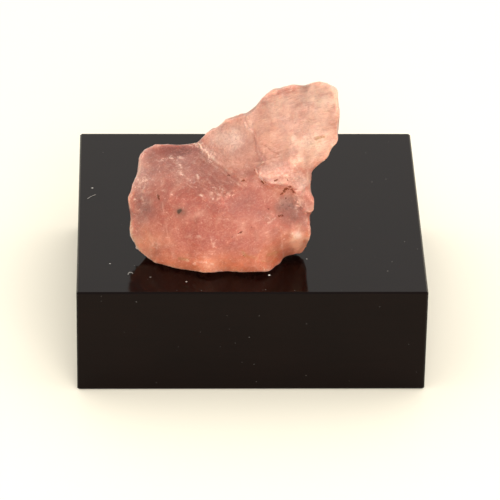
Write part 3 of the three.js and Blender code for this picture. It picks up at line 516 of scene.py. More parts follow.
def corner_value(cell, seed):
    """A repeatable number from 0 to 1 for each corner of a unit grid, scrambled with large odd factors."""
    i, j, k = (cell[..., n].astype(np.int64).astype(np.uint32) for n in range(3))
    h = i * np.uint32(374761393) + j * np.uint32(668265263) + k * np.uint32(2246822519)
    h = h + np.uint32(seed * 3266489917 % 2**32)
    h = (h ^ (h >> np.uint32(13))) * np.uint32(1274126177)
    h = (h ^ (h >> np.uint32(16))) * np.uint32(2654435761)
    return (h ^ (h >> np.uint32(15))).astype(float) / 2**32


def noise(points, size, seed):
    """Smooth noise from -1 to 1 over points in millimetres."""
    p = points / size
    base = np.floor(p)
    t = smoothstep(p - base)
    total = np.zeros(len(p))
    for n in range(8):
        corner = np.array((n & 1, n >> 1 & 1, n >> 2 & 1))
        share = np.where(corner, t, 1 - t).prod(axis=1)
        total += share * (2 * corner_value(base + corner, seed) - 1)
    return total


def layered(points, layers):
    """Noises added up: the height, size and seed of each."""
    return sum(height * noise(points, size, seed) for height, size, seed in layers)


def cells(points, size, seed):
    """Distance to the nearest scattered point, as a share of their spacing, and that point's own number."""
    p = points / size
    base = np.floor(p)
    nearest = np.full(len(p), np.inf)
    number = np.zeros(len(p))
    for n in range(27):
        cell = base + np.array((n % 3 - 1, n // 3 % 3 - 1, n // 9 - 1))
        place = cell + np.stack([corner_value(cell, seed + m) for m in range(3)], axis=1)
        distance = np.linalg.norm(place - p, axis=1)
        number = np.where(distance < nearest, corner_value(cell, seed + 3), number)
        nearest = np.minimum(nearest, distance)
    return nearest, number


# Shapes in the picture plane, for many places at once


def polygon_depth(outline, at):
    """How deep each place lies inside a closed outline, negative outside."""
    x, y = at
    nearest = np.full(len(x), np.inf)
    inside = np.zeros(len(x), bool)
    for a, b in zip(outline, outline[1:] + outline[:1]):
        nearest = np.minimum(nearest, segment_distance(a, b, at))
        if a[1] != b[1]:
            crosses = (a[1] > y) != (b[1] > y)
            inside ^= crosses & (x < (b[0] - a[0]) * (y - a[1]) / (b[1] - a[1]) + a[0])
    return np.where(inside, nearest, -nearest)


def segment_distance(a, b, at):
    """Each place's distance to a straight stretch."""
    dx, dy = at[0] - a[0], at[1] - a[1]
    ex, ey = b[0] - a[0], b[1] - a[1]
    t = np.clip((dx * ex + dy * ey) / (ex * ex + ey * ey), 0, 1)
    return np.hypot(dx - t * ex, dy - t * ey)


def spread(centre, reach, at):
    """1 at a zone's centre, falling off smoothly past its reach."""
    return np.exp(-(((at[0] - centre[0]) / reach[0]) ** 2) - ((at[1] - centre[1]) / reach[1]) ** 2)


def zone_sum(zones, at):
    """The shares of all zones, each spread about its place."""
    return sum(share * spread(centre, reach, at) for centre, reach, share in zones)


def between(t, marks):
    """1 between the two middle marks, and 0 beyond the outer ones."""
    return smoothstep(t, marks[0], marks[1]) * smoothstep(t, marks[3], marks[2])


def stretches(lines):
    """Each straight stretch of the lines: its ends, half width and share."""
    return [(a, b, width, share) for line, width, share in lines for a, b in zip(line, line[1:])]


def mark(distance, width, share, kind):
    """A vein's or a speck's own number at a distance from it."""
    least, wider = kind
    return lifted(least, share) * np.clip(1 - distance / (MARK_REACH + wider * width), 0, 1)


# Mesh work


def welded(mesh):
    """A mesh's vertices in millimetres and its triangles, with doubled vertices merged."""
    mesh.calc_loop_triangles()
    co = np.zeros(len(mesh.vertices) * 3)
    mesh.vertices.foreach_get("co", co)
    triangles = np.zeros(len(mesh.loop_triangles) * 3, np.int32)
    mesh.loop_triangles.foreach_get("vertices", triangles)
    steps = np.round(co.reshape(-1, 3) / MM / WELD).astype(np.int64)
    _, first, number = np.unique(steps, axis=0, return_index=True, return_inverse=True)
    triangles = number.reshape(-1)[triangles].reshape(-1, 3)
    a, b, c = triangles.T
    return co.reshape(-1, 3)[first] / MM, triangles[(a != b) & (b != c) & (a != c)]


def edges_of(triangles):
    """Each edge once, and the number of each triangle's three edges."""
    sides = np.sort(triangles[:, [0, 1, 1, 2, 2, 0]].reshape(-1, 2), axis=1)
    edges, number = np.unique(sides, axis=0, return_inverse=True)
    return edges, number.reshape(-1, 3)


def split(points, triangles):
    """Each triangle cut in four at the middles of its edges."""
    edges, number = edges_of(triangles)
    (a, b, c), (ab, bc, ca) = triangles.T, (number + len(points)).T
    parts = [(a, ab, ca), (ab, b, bc), (ca, bc, c), (ab, bc, ca)]
    points = np.vstack([points, points[edges].mean(axis=1)])
    return points, np.vstack([np.stack(part, axis=1) for part in parts])


def smoothed(points, triangles, rounds, shares):
    """Evens out the facets: a share moves each point towards its neighbours, or away where it is negative."""
    edges, _ = edges_of(triangles)
    a, b = edges.T
    count = len(points)
    degree = np.bincount(edges.reshape(-1), minlength=count)[:, None]
    for share in shares * rounds:
        sums = [np.bincount(a, column[b], count) + np.bincount(b, column[a], count) for column in points.T]
        points = points + share * (np.stack(sums, axis=1) / degree - points)
    return points


def normals_of(points, triangles):
    """Each point's unit normal."""
    a, b, c = (points[triangles[:, n]] for n in range(3))
    face = np.cross(b - a, c - a)
    sums = [sum(np.bincount(triangles[:, m], face[:, n], len(points)) for m in range(3)) for n in range(3)]
    total = np.stack(sums, axis=1)
    return total / np.maximum(np.linalg.norm(total, axis=1), 1e-12)[:, None]


def standing_out(points, triangles, normals):
    """How far each point stands out from its wider surroundings, in millimetres."""
    away = points - smoothed(points, triangles, EDGE_ROUNDS, EVENING)
    return (away * normals).sum(axis=1)


def mesh_object(name, points, triangles):
    mesh = bpy.data.meshes.new(name)
    mesh.from_pydata((points * MM).tolist(), [], triangles.tolist())
    mesh.shade_smooth()
    return linked(bpy.data.objects.new(name, mesh))


def linked(made):
    """Puts an object into the scene."""
    bpy.context.scene.collection.objects.link(made)
    return made


def store(mesh, name, values):
    """Keeps a number or a colour for each vertex, for the material to read."""
    if values.ndim == 1:
        mesh.attributes.new(name, "FLOAT", "POINT").data.foreach_set("value", values.astype(np.float32))
        return
    colours = np.hstack([values, np.ones((len(values), 1))]).astype(np.float32)
    mesh.attributes.new(name, "FLOAT_COLOR", "POINT").data.foreach_set("color", colours.reshape(-1))


# Stone: shape


def step_relief(at, p):
    """What the steps' edges lack after smoothing, in millimetres towards the viewer."""
    ragged = layered(p, STEP_RAGGED)
    total = np.zeros(len(p))
    for outline, low, high in STEPS:
        depth = polygon_depth(outline, at) + ragged
        t = smoothstep(at[1], low[0], high[0])
        height, drop, fill = (a + (b - a) * t for a, b in zip(low[1:], high[1:]))
        sharp = smoothstep(depth, -STEP_SHARP, STEP_SHARP)
        soft = smoothstep(depth, -STEP_SOFT, STEP_SOFT)
        total += height * (sharp - soft)
        total += (fill * (1 - sharp) - drop * sharp) * np.exp(-np.abs(depth) / STEP_REACH)
    return total * (1 - spread(*STEP_END, at)) + zone_sum(SWELLS, at)


def ripple_relief(at, p):
    """Fracture ripples, each steep on its inner side."""
    dx, dy = at[0] - RIPPLE_CENTRE[0], at[1] - RIPPLE_CENTRE[1]
    radius = np.hypot(dx, dy) + layered(p, RIPPLE_WANDER)
    within = between(radius, RIPPLE_RADII) * between(np.degrees(np.arctan2(dy, dx)), RIPPLE_DIRECTIONS)
    t = radius / RIPPLE_PITCH % 1
    uneven = lifted(0.35, smoothstep(noise(p, 1.5, 23), -0.3, 0.5))
    return RIPPLE_HEIGHT * within * uneven * (smoothstep(t, 0.0, RIPPLE_STEEP) - t)


def lobe_relief(at, p):
    """Wavy growth lines on the lobe."""
    a = math.radians(LOBE_LINES_DIRECTION)
    along, across = at[0] * math.cos(a) + at[1] * math.sin(a), at[1] * math.cos(a) - at[0] * math.sin(a)
    height, length, start = LOBE_WAVE
    wave = height * np.sin(along / length + start) + layered(p, LOBE_WANDER)
    t = (across + wave) / LOBE_LINES_PITCH
    stretched = np.stack([along / LOBE_LINES_STRETCH[0], t, p[:, 2] / LOBE_LINES_STRETCH[1]], axis=1)
    within = smoothstep(polygon_depth(LOBE_EDGE, at))
    return LOBE_LINES_HEIGHT * within * layered(stretched, LOBE_LINES)


def cleavage_facings():
    """The eight directions of an octahedron's faces."""
    first = np.array(CLEAVAGE_FACING) / np.linalg.norm(CLEAVAGE_FACING)
    side = np.array(CLEAVAGE_SIDE)
    side = side - side @ first * first
    side /= np.linalg.norm(side)
    other = np.cross(first, side)
    third = math.tau / 3
    around = [math.cos(n * third) * side + math.sin(n * third) * other for n in range(3)]
    facings = np.array([first] + [first / 3 + math.sqrt(8) / 3 * a for a in around])
    return np.vstack([facings, -facings])


def push(local, pushes):
    """Moves places of the outline in the picture plane."""
    for centre, size, way in pushes:
        local[:, :2] += spread(centre, (size, size), (local[:, 0], local[:, 1]))[:, None] * np.array(way)


def break_faces(local, triangles):
    """Breaks off the highest part around scattered places, each leaving a nearly flat face."""
    rng = np.random.default_rng(BREAK_SEED)
    cleavage = cleavage_facings()
    normals = normals_of(smoothed(local, triangles, BREAK_ROUNDS, EVENING), triangles)
    for count, hollow, reach, depth, follows, least, most in BREAKS:
        places = np.nonzero((normals[:, 2] >= least) & (normals[:, 2] <= most))[0]
        for place in places[rng.integers(0, len(places), count)]:
            facing = normals[place]
            nearest = cleavage[np.argmax(cleavage @ facing)]
            facing = facing + follows * rng.random() * (nearest - facing)
            facing /= np.linalg.norm(facing)
            offset = local - local[place]
            height = offset @ facing
            aside = (offset**2).sum(axis=1) - height**2
            near = (aside < reach**2) & (normals @ facing > BREAK_FACING) & (np.abs(height) < reach)
            over = height - aside / (2 * hollow)
            over -= over[near].max() - depth * lifted(BREAK_LEAST, rng.random())
            cut = near & (over > 0)
            local[cut] -= over[cut, None] * facing


def terrace_shift(points, normals, front):
    """Small flat terraces along the cleavage directions, away from the smooth front."""
    shift = np.zeros_like(points)
    for number, facing in enumerate(cleavage_facings()):
        faces = smoothstep(normals @ facing, 0.90, 0.98) * smoothstep(front, 0.5, 0.15)
        level = points @ facing / TERRACE_RISE
        wander = TERRACE_WANDER * noise(points, 1.6, 40 + number)
        for size, share in TERRACE_BLOCKS:
            wander += share * cells(points, size, 200 + 10 * number)[1]
        low = np.floor(level + wander)
        flat = low + smoothstep(level + wander - low, 0.40, 0.60) - wander
        shift += (TERRACE_SHARE * TERRACE_RISE * faces * (flat - level))[:, None] * facing
    return shift


def pit_relief(at, p):
    """Small vugs below the ledge, along the bruised crest and scattered at the back."""
    distance, number = cells(p, PIT_SIZE, 61)
    zone = zone_sum(PIT_ZONES, at) + PITS_AT_BACK * smoothstep(p[:, 2], 1.0, -1.5)
    return -PIT_DEPTH * smoothstep(zone, 0.15, 0.6) * (number > 0.45) * smoothstep(distance, 0.42, 0.12)


def broken_relief(p, front):
    """Dished fractures with ridges between them, and lumps."""
    total = layered(p, LUMPS)
    for number, (height, size) in enumerate(DISHES):
        warp = np.stack([noise(p, size, 90 + 3 * number + n) for n in range(3)], axis=1)
        distance, _ = cells(p + DISH_WARP * size * warp, size, 65 + 4 * number)
        total += height * (2.6 * distance**2 - 0.6)
    return total * (BACK_RELIEF + (FRONT_RELIEF - BACK_RELIEF) * front)


def bruises_of(at, p, front, edges):
    """Where the stone is crumbled, its bright veins, and the grit that stands on both in short ridges."""
    crumbs = np.minimum(BRUISE_SHARE * zone_sum(FROST_ZONES, at), 1) * lifted(0.3, front)
    crumbs = np.maximum(crumbs, 0.5 * edges)
    jittered = at + [layered(p, [(0.10, 0.9, 116 + n), (0.20, 0.36, 118 + n)]) for n in range(2)]
    veins = np.zeros(len(p))
    for a, b, width, share in stretches(VEINS):
        veins = np.maximum(veins, mark(segment_distance(a, b, jittered), width, share, VEIN_MARK))
    veins *= front
    ridge = smoothstep(noise(p, 0.26, 114), 0.05, 0.50)
    return crumbs, veins, ridge * np.maximum(veins, 0.6 * smoothstep(crumbs, 0.4, 1.0))


def fine_mesh(mesh):
    """The CAD solid's mesh, smoothed and split until it can hold the relief."""
    points, triangles = welded(mesh)
    points = smoothed(points, triangles, ROUNDS_BEFORE_SPLIT, SMOOTHING)
    for _ in range(SPLITS):
        points, triangles = split(points, triangles)
        points = smoothed(points, triangles, ROUNDS_AFTER_SPLIT, SMOOTHING)
    return points, triangles


def sharpen(local, triangles):
    """Gives the edges back what the smoothing took."""
    normals = normals_of(local, triangles)
    sharper = SHARPENING * standing_out(local, triangles, normals)
    sharper *= lifted(0.35, smoothstep(np.abs(normals[:, 2]), 0.1, 0.5))
    sharper *= 1 - spread(*CALM_PLACE, (local[:, 0], local[:, 1]))
    local += normals * np.clip(sharper, -SHARPENING_LIMIT, SHARPENING_LIMIT)[:, None]


def make_stone():
    """The stone as a fine mesh grown from its CAD solid."""
    points, triangles = fine_mesh(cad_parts["fluorite"].data)
    above_seat = points[:, 2] - SEAT
    axes = stone_axes()
    local = (points - STONE_ORIGIN) @ axes
    sharpen(local, triangles)
    push(local, PUSHES)
    break_faces(local, triangles)
    push(local, NUDGES)
    normals = normals_of(local, triangles)
    front = smoothstep(normals[:, 2], -0.1, 0.45)
    local += terrace_shift(local, normals, front)
    at = local[:, :2].T * VIEWING_DISTANCE / (VIEWING_DISTANCE - local[:, 2])
    local[:, 2] += step_relief(at, local) * smoothstep(normals[:, 2], 0.0, 0.35)
    normals = normals_of(local, triangles)
    relief = front * (ripple_relief(at, local) + lobe_relief(at, local))
    relief += pit_relief(at, local) + broken_relief(local, front)
    relief *= lifted(0.25, smoothstep(above_seat, 0, FOOT_CALM))
    relief *= lifted(0.45, smoothstep(np.abs(normals[:, 2]), 0.1, 0.5))
    local += normals * relief[:, None]
    normals = normals_of(local, triangles)
    edges = smoothstep(standing_out(local, triangles, normals), 0.15 * EDGE_FULL, EDGE_FULL)
    edges *= 1 - 0.8 * spread(*CALM_PLACE, at)
    crumbs, veins, grit = bruises_of(at, local, front, edges)
    local += normals * (GRIT_HEIGHT * grit)[:, None]
    points = local @ axes.T + STONE_ORIGIN
    points[:, 2] = np.maximum(points[:, 2], SEAT)
    stone = mesh_object("rough_fluorite", points, triangles)
    kept = {"crumbs": crumbs, "veins": veins, "grit": grit, "edges": edges, "worn": front}
    kept |= painted(local, triangles, at, front, edges)
    for name, values in kept.items():
        store(stone.data, name, values)
    return stone


# Stone: colour


def mixed(base, colour, share):
    return base + (np.array(colour) - base) * np.clip(share, 0, 1)[:, None]


def spot(x, y, radius, share, wider, at):
    """The share at a round spot's centre, falling to 0 at its edge."""
    return share * smoothstep(np.hypot(at[0] - x, at[1] - y), wider * radius, 0)


def lined(tint, lines, colour, mask, at):
    """Draws lines in a colour where the mask is open."""
    for a, b, width, share in stretches(lines):
        near = smoothstep(segment_distance(a, b, at), 1.5 * width, 0.2 * width)
        tint = mixed(tint, colour, share * mask * near)
    return tint


def drawn_tint(p, front, patches, wide, close):
    """The colours drawn one by one. Zones and stains wander widely, and lines only a little."""
    tint = np.tile(SALMON, (len(p), 1))
    for centre, reach, colour, share in ZONES:
        tint = mixed(tint, colour, share * spread(centre, reach, wide))
    for (_, colour, share, _), patch in zip(PATCHES, patches):
        tint = mixed(tint, colour, share * patch)
    # Painted shade along the creases and steps
    tint = lined(tint, CREASE_PAINTED_SHADE, ROSE, 1, close)
    tint = lined(tint, HAIRLINES, PALE, front * smoothstep(noise(p, 0.7, 90), -0.5, 0.3), close)
    for stain in STAIN_SPOTS:
        tint = mixed(tint, STAIN, spot(*stain, 1.6, wide))
    return lined(tint, OCHRE_LINES, OCHRE, front, close)


def lit_tint(tint, p, triangles, front, edges):
    """Painted light: the back painted paler to make up for its shade, painted sheen and shade for each
    cleavage direction, a painted highlight along the rims, and paler bruised edges.
    """
    facing = normals_of(smoothed(p, triangles, 4, EVENING), triangles)[:, 2]
    deep = smoothstep(p[:, 2], -2.0, -5.0) * smoothstep(facing, 0.40, 0.08)
    # Painted light: sides turned away from the viewer, and the far back, made paler to make up for their
    # shade
    tint = mixed(tint, BACK, BACK_PAINTED_LIGHT_SHARE * np.maximum(smoothstep(facing, -0.02, -0.42), deep))
    normals = normals_of(p, triangles)
    # Painted sheen and shade: each cleavage facing made lighter or darker, away from the worn front
    faces = [smoothstep(normals @ cleavage, 0.72, 0.90) for cleavage in cleavage_facings()]
    tones = sum(tone * face for tone, face in zip(CLEAVAGE_PAINTED_SHEEN, faces))
    tint *= 1 + (tones * (1 - front))[:, None]
    # Painted highlight along the rims, where the surface turns edge-on to the viewer
    tint += (1 - tint) * (RIM_LIGHT * smoothstep(np.abs(facing), 0.20, 0.02))[:, None]
    return np.minimum(tint * (1 + EDGE_LIGHT * edges[:, None]), 1)


def specks_of(p, close):
    """How strongly each vertex is marked as an iron speck."""
    specks = np.zeros(len(p))
    uneven = 1 + 0.5 * noise(p, 0.3, 88)
    for x, y, radius, share in SPECKS:
        distance = np.hypot(close[0] - x, 1.3 * (close[1] - y)) * uneven
        specks = np.maximum(specks, mark(distance, radius, share, SPECK_MARK))
    for a, b, width, share in stretches(SPECK_LINES):
        specks = np.maximum(specks, mark(segment_distance(a, b, close), width, share, SPECK_MARK))
    return specks


def painted(p, triangles, at, front, edges):
    """What the material needs for each vertex: colour, clearness, frost, specks and streaks."""
    wander = np.stack([layered(p, [(1.0, 1.6, 80 + n), (0.4, 0.6, 84 + n)]) for n in range(2)])
    wide, close = at + ZONE_WANDER * wander, at + LINE_WANDER * wander
    ragged = 0.14 * noise(p, 0.35, 91)
    patches = [smoothstep(polygon_depth(patch[0], close) + ragged, -0.08, 0.12) * front for patch in PATCHES]
    grains = [patch[3] * inside for patch, inside in zip(PATCHES, patches)]
    frost = np.max([zone_sum(FROST_ZONES, wide), *grains], axis=0)
    lobe = smoothstep(polygon_depth(LOBE_EDGE, at), -0.2, 1.0)
    top = smoothstep(spread(*TOP_FACE, wide), 0.25, 0.6) * (1 - lobe)
    return {
        "tint": lit_tint(drawn_tint(p, front, patches, wide, close), p, triangles, front, edges),
        "frost": np.clip(frost, 0, 1),
        "clear": np.clip(zone_sum(CLEAR_ZONES, wide) * (1 - frost), 0, 1),
        "specks": front * specks_of(p, close),
        "inner": front * sum(spot(*inclusion, 1.7, close) for inclusion in INCLUSIONS),
        "streaks": np.stack([(1 - lobe) * (1 - top), top, lobe], axis=1),
    }


# Materials


class Graph:
    """A short way to build nodes."""

    def __init__(self, owner):
        owner.use_nodes = True
        self.tree = owner.node_tree

    def node(self, kind, settings=None, **inputs):
        made = self.tree.nodes.new(kind)
        for key, value in (settings or {}).items():
            setattr(made, key, value)
        for key, value in inputs.items():
            self.feed(made.inputs[key.replace("_", " ")], value)
        return made

    def look(self, **values):
        """Sets the shader's own sockets."""
        for key, value in values.items():
            self.feed(self.tree.nodes["Principled BSDF"].inputs[key.replace("_", " ")], value)

    def feed(self, socket, value):
        if isinstance(value, bpy.types.NodeSocket):
            self.tree.links.new(value, socket)
        else:
            socket.default_value = value

    def object_place(self):
        return self.node("ShaderNodeTexCoord").outputs["Object"]

    def place(self, scale=(1, 1, 1)):
        """Place in the row frame, in millimetres."""
        mapping = self.node("ShaderNodeMapping", Vector=self.object_place(), Scale=[s / MM for s in scale])
        return mapping.outputs["Vector"]

    def stone_place(self):
        """Place in the stone's own frame, in millimetres."""
        axes = Matrix(stone_axes().T.tolist())
        mapping = self.node("ShaderNodeMapping", Vector=self.object_place(), Scale=[1 / MM] * 3)
        self.feed(mapping.inputs["Rotation"], axes.to_euler())
        self.feed(mapping.inputs["Location"], -(axes @ Vector(STONE_ORIGIN)))
        return mapping.outputs["Vector"]

    def unit(self, place, turn, size):
        """A place whose unit is turned and has its own length, width and depth."""
        settings = {"vector_type": "TEXTURE"}
        mapping = self.node("ShaderNodeMapping", settings, Vector=place, Rotation=turn, Scale=size)
        return mapping.outputs["Vector"]

    def streaked(self, place, streaks, *look):
        """Noise that is long in one direction of the picture plane and narrow across it."""
        degrees, *size = streaks
        return self.noise(self.unit(place, (0, 0, math.radians(degrees)), size), 1.0, *look)

    def layers(self, place, facing, thickness, width, roughness):
        """Noise that is thin along one direction and wide across it."""
        turn = Vector(facing).to_track_quat("X", "Z").to_euler()
        return self.noise(self.unit(place, turn, (thickness, width, width)), 1.0, 2.0, roughness)

    def noise(self, place, size, detail=3.0, roughness=0.6, distortion=0.0):
        look = {"Scale": 1 / size, "Detail": detail, "Roughness": roughness, "Distortion": distortion}
        return self.node("ShaderNodeTexNoise", Vector=place, **look).outputs["Fac"]

    def dots(self, place, spacing, radius, least):
        """Scattered soft dots, and only where a cell's own number is above the least."""
        voronoi = self.node("ShaderNodeTexVoronoi", Vector=place, Scale=1 / spacing, Randomness=1.0)
        chosen = self.node("ShaderNodeSeparateColor", Color=voronoi.outputs["Color"])
        near = self.ranged(voronoi.outputs["Distance"], radius / spacing, 0.4 * radius / spacing)
        return self.times(near, self.ranged(chosen.outputs["Red"], least, min(least + 0.2, 1.0)))

    def ranged(self, value, low, high, to_low=0.0, to_high=1.0):
        made = self.node("ShaderNodeMapRange", Value=value)
        for key, number in zip(("From Min", "From Max", "To Min", "To Max"), (low, high, to_low, to_high)):
            made.inputs[key].default_value = number
        return made.outputs["Result"]

    def maths(self, operation, a, b):
        made = self.node("ShaderNodeMath", {"operation": operation})
        self.feed(made.inputs[0], a)
        self.feed(made.inputs[1], b)
        return made.outputs["Value"]

    def times(self, a, b):
        return self.maths("MULTIPLY", a, b)

    def plus(self, a, b):
        return self.maths("ADD", a, b)

    def most(self, a, b):
        return self.maths("MAXIMUM", a, b)

    def mix(self, share, a, b, blend="MIX"):
        made = self.node("ShaderNodeMix", {"data_type": "RGBA", "blend_type": blend})
        for socket, value in zip((made.inputs[0], made.inputs[6], made.inputs[7]), (share, a, b)):
            self.feed(socket, (*value, 1.0) if isinstance(value, tuple) else value)
        return made.outputs[2]

    def toned(self, colour, noise, kind, strength=1.0):
        """Darkens and lightens a colour with a noise."""
        for start, full, share, tone in TONES[kind]:
            amount = self.times(strength, self.ranged(noise, start, full, 0.0, share))
            colour = self.mix(amount, colour, tone)
        return colour

    def attribute(self, name, output="Fac"):
        return self.node("ShaderNodeAttribute", {"attribute_name": name}).outputs[output]

    def frayed(self, name, fray, amount, start, full, most=1.0):
        """Cuts a crisp, ragged edge from a stored number that falls off."""
        return self.ranged(self.plus(self.attribute(name), self.times(fray, amount)), start, full, 0.0, most)

    def bump(self, height, distance, strength, onto=None):
        made = self.node("ShaderNodeBump", Height=height, Strength=strength, Distance=distance * MM)
        if onto is not None:
            self.feed(made.inputs["Normal"], onto)
        return made.outputs["Normal"]


def new_material(mesh, name):
    """The graph of a new material on a mesh."""
    material = bpy.data.materials.new(name)
    mesh.materials.append(material)
    return Graph(material)


def skin_tones(g, place, noises, which):
    """The stored colour under clouds, streaks, needles, grain and sand."""
    worn, frost, crumbs = (g.attribute(name) for name in ("worn", "frost", "crumbs"))
    colour = g.toned(g.attribute("tint", "Color"), noises["cloud"], "cloud")
    colour = g.toned(colour, noises["mottle"], "mottle")
    colour = g.toned(colour, noises["lines"], "lines", g.ranged(which["Red"], 0.0, 1.0, 0.95, 0.45))
    strength = g.ranged(g.noise(place, 1.1, 2.0, 0.5), 0.42, 0.60, 0.25, 1.0)
    strength = g.times(strength, g.ranged(which["Blue"], 0.0, 1.0, 0.15, 1.0))
    colour = g.toned(colour, g.streaked(place, FINE_STREAKS, 2.0), "fine", strength)
    colour = g.toned(colour, g.noise(place, 0.17, 3.0, 0.7), "grain")
    sandy = g.most(g.times(crumbs, 0.9), g.ranged(frost, 0.05, 0.7, 0.10, 0.85))
    sandy = g.times(g.most(sandy, g.times(which["Green"], 0.42)), g.ranged(worn, 0.3, 0.8, 0.4, 1.0))
    colour = g.toned(colour, g.noise(place, 0.26, 2.0, 0.65), "sand", sandy)
    return g.mix(g.times(frost, 0.14), colour, WHITE)


def white_marks(g, place, fray):
    """Veins, grit, short needles and single grains of broken stone."""
    crumbs, frost = g.attribute("crumbs"), g.attribute("frost")
    white = g.ranged(g.attribute("grit"), 0.1, 0.9, 0.0, 0.5)
    white = g.most(white, g.frayed("veins", fray, 0.8, 1.20, 1.38, 0.82))
    for needle in NEEDLES:
        needles = g.plus(g.streaked(place, needle, 1.0, 0.5), g.times(crumbs, 0.17))
        white = g.most(white, g.ranged(needles, 0.70, 0.80, 0.0, 0.60))
    grains = g.times(g.ranged(g.noise(place, 0.15, 2.0), 0.54, 0.68), g.most(crumbs, g.times(frost, 0.5)))
    grains = g.most(grains, g.times(g.dots(place, 0.75, 0.11, 0.55), 0.45))
    return g.most(white, g.times(grains, 0.6))


def plane_traces(g, place):
    """Traces of three cleavage planes inside the stone, in patches, mostly at the back."""
    planes = 0.0
    for facing in cleavage_facings()[:3]:
        plane = g.ranged(g.layers(place, facing, 0.20, 40.0, 0.6), 0.54, 0.66)
        patch = g.ranged(g.layers(place, facing, 0.9, 2.6, 0.5), 0.50, 0.56)
        planes = g.most(g.times(plane, patch), planes)
    return g.times(planes, g.ranged(g.attribute("worn"), 0.9, 0.3, 0.12, 1.0))


def stone_material(mesh):
    """Clouded pink stone that lets light in, with sharp marks on its skin."""
    g = new_material(mesh, "fluorite")
    place = g.stone_place()
    worn, clear, inner = (g.attribute(name) for name in ("worn", "clear", "inner"))
    which = g.node("ShaderNodeSeparateColor", Color=g.attribute("streaks", "Color")).outputs
    cloud = g.noise(place, 2.4, 1.5, 0.5, 0.4)
    mottle = g.noise(place, 0.9, 2.0, 0.5, 0.6)
    lines = g.streaked(place, BODY_STREAKS, 4.0, 0.65, 1.0)
    lines = g.mix(which["Blue"], lines, g.streaked(place, LOBE_STREAKS, 5.0, 0.75, 1.0))
    lines = g.mix(which["Green"], lines, g.streaked(place, TOP_STREAKS, 4.0, 0.6, 0.5))
    colour = skin_tones(g, place, {"cloud": cloud, "mottle": mottle, "lines": lines}, which)
    fray = g.ranged(g.noise(place, 0.19, 2.0), 0.28, 0.72)
    white = white_marks(g, place, fray)
    bright = g.times(g.frayed("edges", fray, 0.6, 0.98, 1.25), g.ranged(worn, 0.9, 0.3, 0.08, 0.20))
    for marks in (white, g.times(plane_traces(g, place), 0.45), bright):
        colour = g.mix(marks, colour, PALER)
    murk = g.ranged(g.noise(place, 0.30, 3.0, 0.7), 0.50, 0.60)
    murk = g.times(murk, g.ranged(clear, 0.20, 0.34, 0.0, 0.85))
    specks = g.most(g.times(g.dots(place, 1.9, 0.09, 0.80), 0.6), g.frayed("specks", fray, 0.5, 0.90, 1.03))
    for marks, tone in ((murk, MURK), (inner, DEEP), (specks, SPECK)):
        colour = g.mix(marks, colour, tone)

    see_through = g.times(clear, g.ranged(mottle, 0.3, 0.7, 1.0, 0.6))
    see_through = g.plus(see_through, g.ranged(cloud, 0.35, 0.65, 0.42, 0.26))
    see_through = g.plus(see_through, g.ranged(worn, 0.8, 0.2, 0.0, 0.16))
    marked = g.most(white, g.most(specks, inner))
    see_through = g.times(see_through, g.ranged(marked, 0.0, 1.0, 1.0, 0.0))
    see_through = g.times(see_through, g.ranged(g.attribute("edges"), 0.0, 1.0, 1.0, 0.2))
    rough = g.times(g.ranged(mottle, 0.3, 0.7, 0.32, 0.52), g.ranged(worn, 0.0, 1.0, 0.62, 1.0))
    normal = g.bump(lines, 0.08, 0.55)
    normal = g.bump(g.noise(place, 0.22, 5.0, 0.7), 0.06, 0.8, normal)
    g.look(
        Base_Color=colour,
        Roughness=g.plus(rough, g.times(g.attribute("frost"), 0.25)),
        Transmission_Weight=see_through,
        Normal=g.bump(white, 0.04, 0.6, normal),
        IOR=STONE_IOR,
        Subsurface_Weight=g.ranged(worn, 0.0, 1.0, 0.60, 0.70),
        Subsurface_Radius=SUBSURFACE_RADIUS,
        Subsurface_Scale=SUBSURFACE_SCALE * MM,
    )
    absorption = g.node("ShaderNodeVolumeAbsorption", Color=ABSORPTION_COLOUR, Density=ABSORPTION_DENSITY)
    g.feed(g.tree.nodes["Material Output"].inputs["Volume"], absorption.outputs["Volume"])


def block_material(mesh):
    """Near-black gloss with a slight haze, fine scratches and specks."""
    g = new_material(mesh, "display_block")
    place = g.place()
    black, reddish, brownish = BLOCK_BLACKS
    colour = g.mix(g.ranged(g.noise(g.place((0.05, 2.2, 2.2)), 0.5), 0.4, 0.75, 0.0, 0.5), black, reddish)
    colour = g.mix(g.ranged(g.noise(place, 6.0, 3.0, 0.5), 0.35, 0.7, 0.0, 0.4), colour, brownish)
    specks = g.times(g.dots(place, 1.3, 0.05, 0.70), 0.35)
    haze = g.ranged(g.noise(place, 2.4, 4.0), 0.35, 0.7, 0.055, 0.12)
    g.look(
        Base_Color=g.mix(specks, colour, BLOCK_SPECK),
        Roughness=g.plus(haze, g.times(specks, 0.5)),
        Normal=g.bump(g.noise(g.place((0.08, 1.6, 1.6)), 0.16, 2.0, 0.5), 0.004, 0.25),
        IOR=BLOCK_IOR,
        Specular_Tint=BLOCK_SPECULAR,
    )


def floor_material(mesh):
    g = new_material(mesh, "pale_floor")
    g.look(Base_Color=FLOOR_COLOUR, Roughness=0.8, Specular_IOR_Level=0.2)


def dust_material(mesh):
    g = new_material(mesh, "dust")
    tone = g.noise(g.place(), 0.12)
    colour = g.mix(g.attribute("shade"), DUST_DARK, DUST_PALE)
    g.look(
        Base_Color=g.mix(g.ranged(tone, 0.35, 0.65, 0.0, 0.4), colour, DUST_BROWN, "MULTIPLY"),
        Roughness=g.ranged(tone, 0.3, 0.7, 0.6, 0.9),
        Normal=g.bump(g.noise(g.place(), 0.05, 2.0), 0.01, 0.5),
    )


# Dust on the block


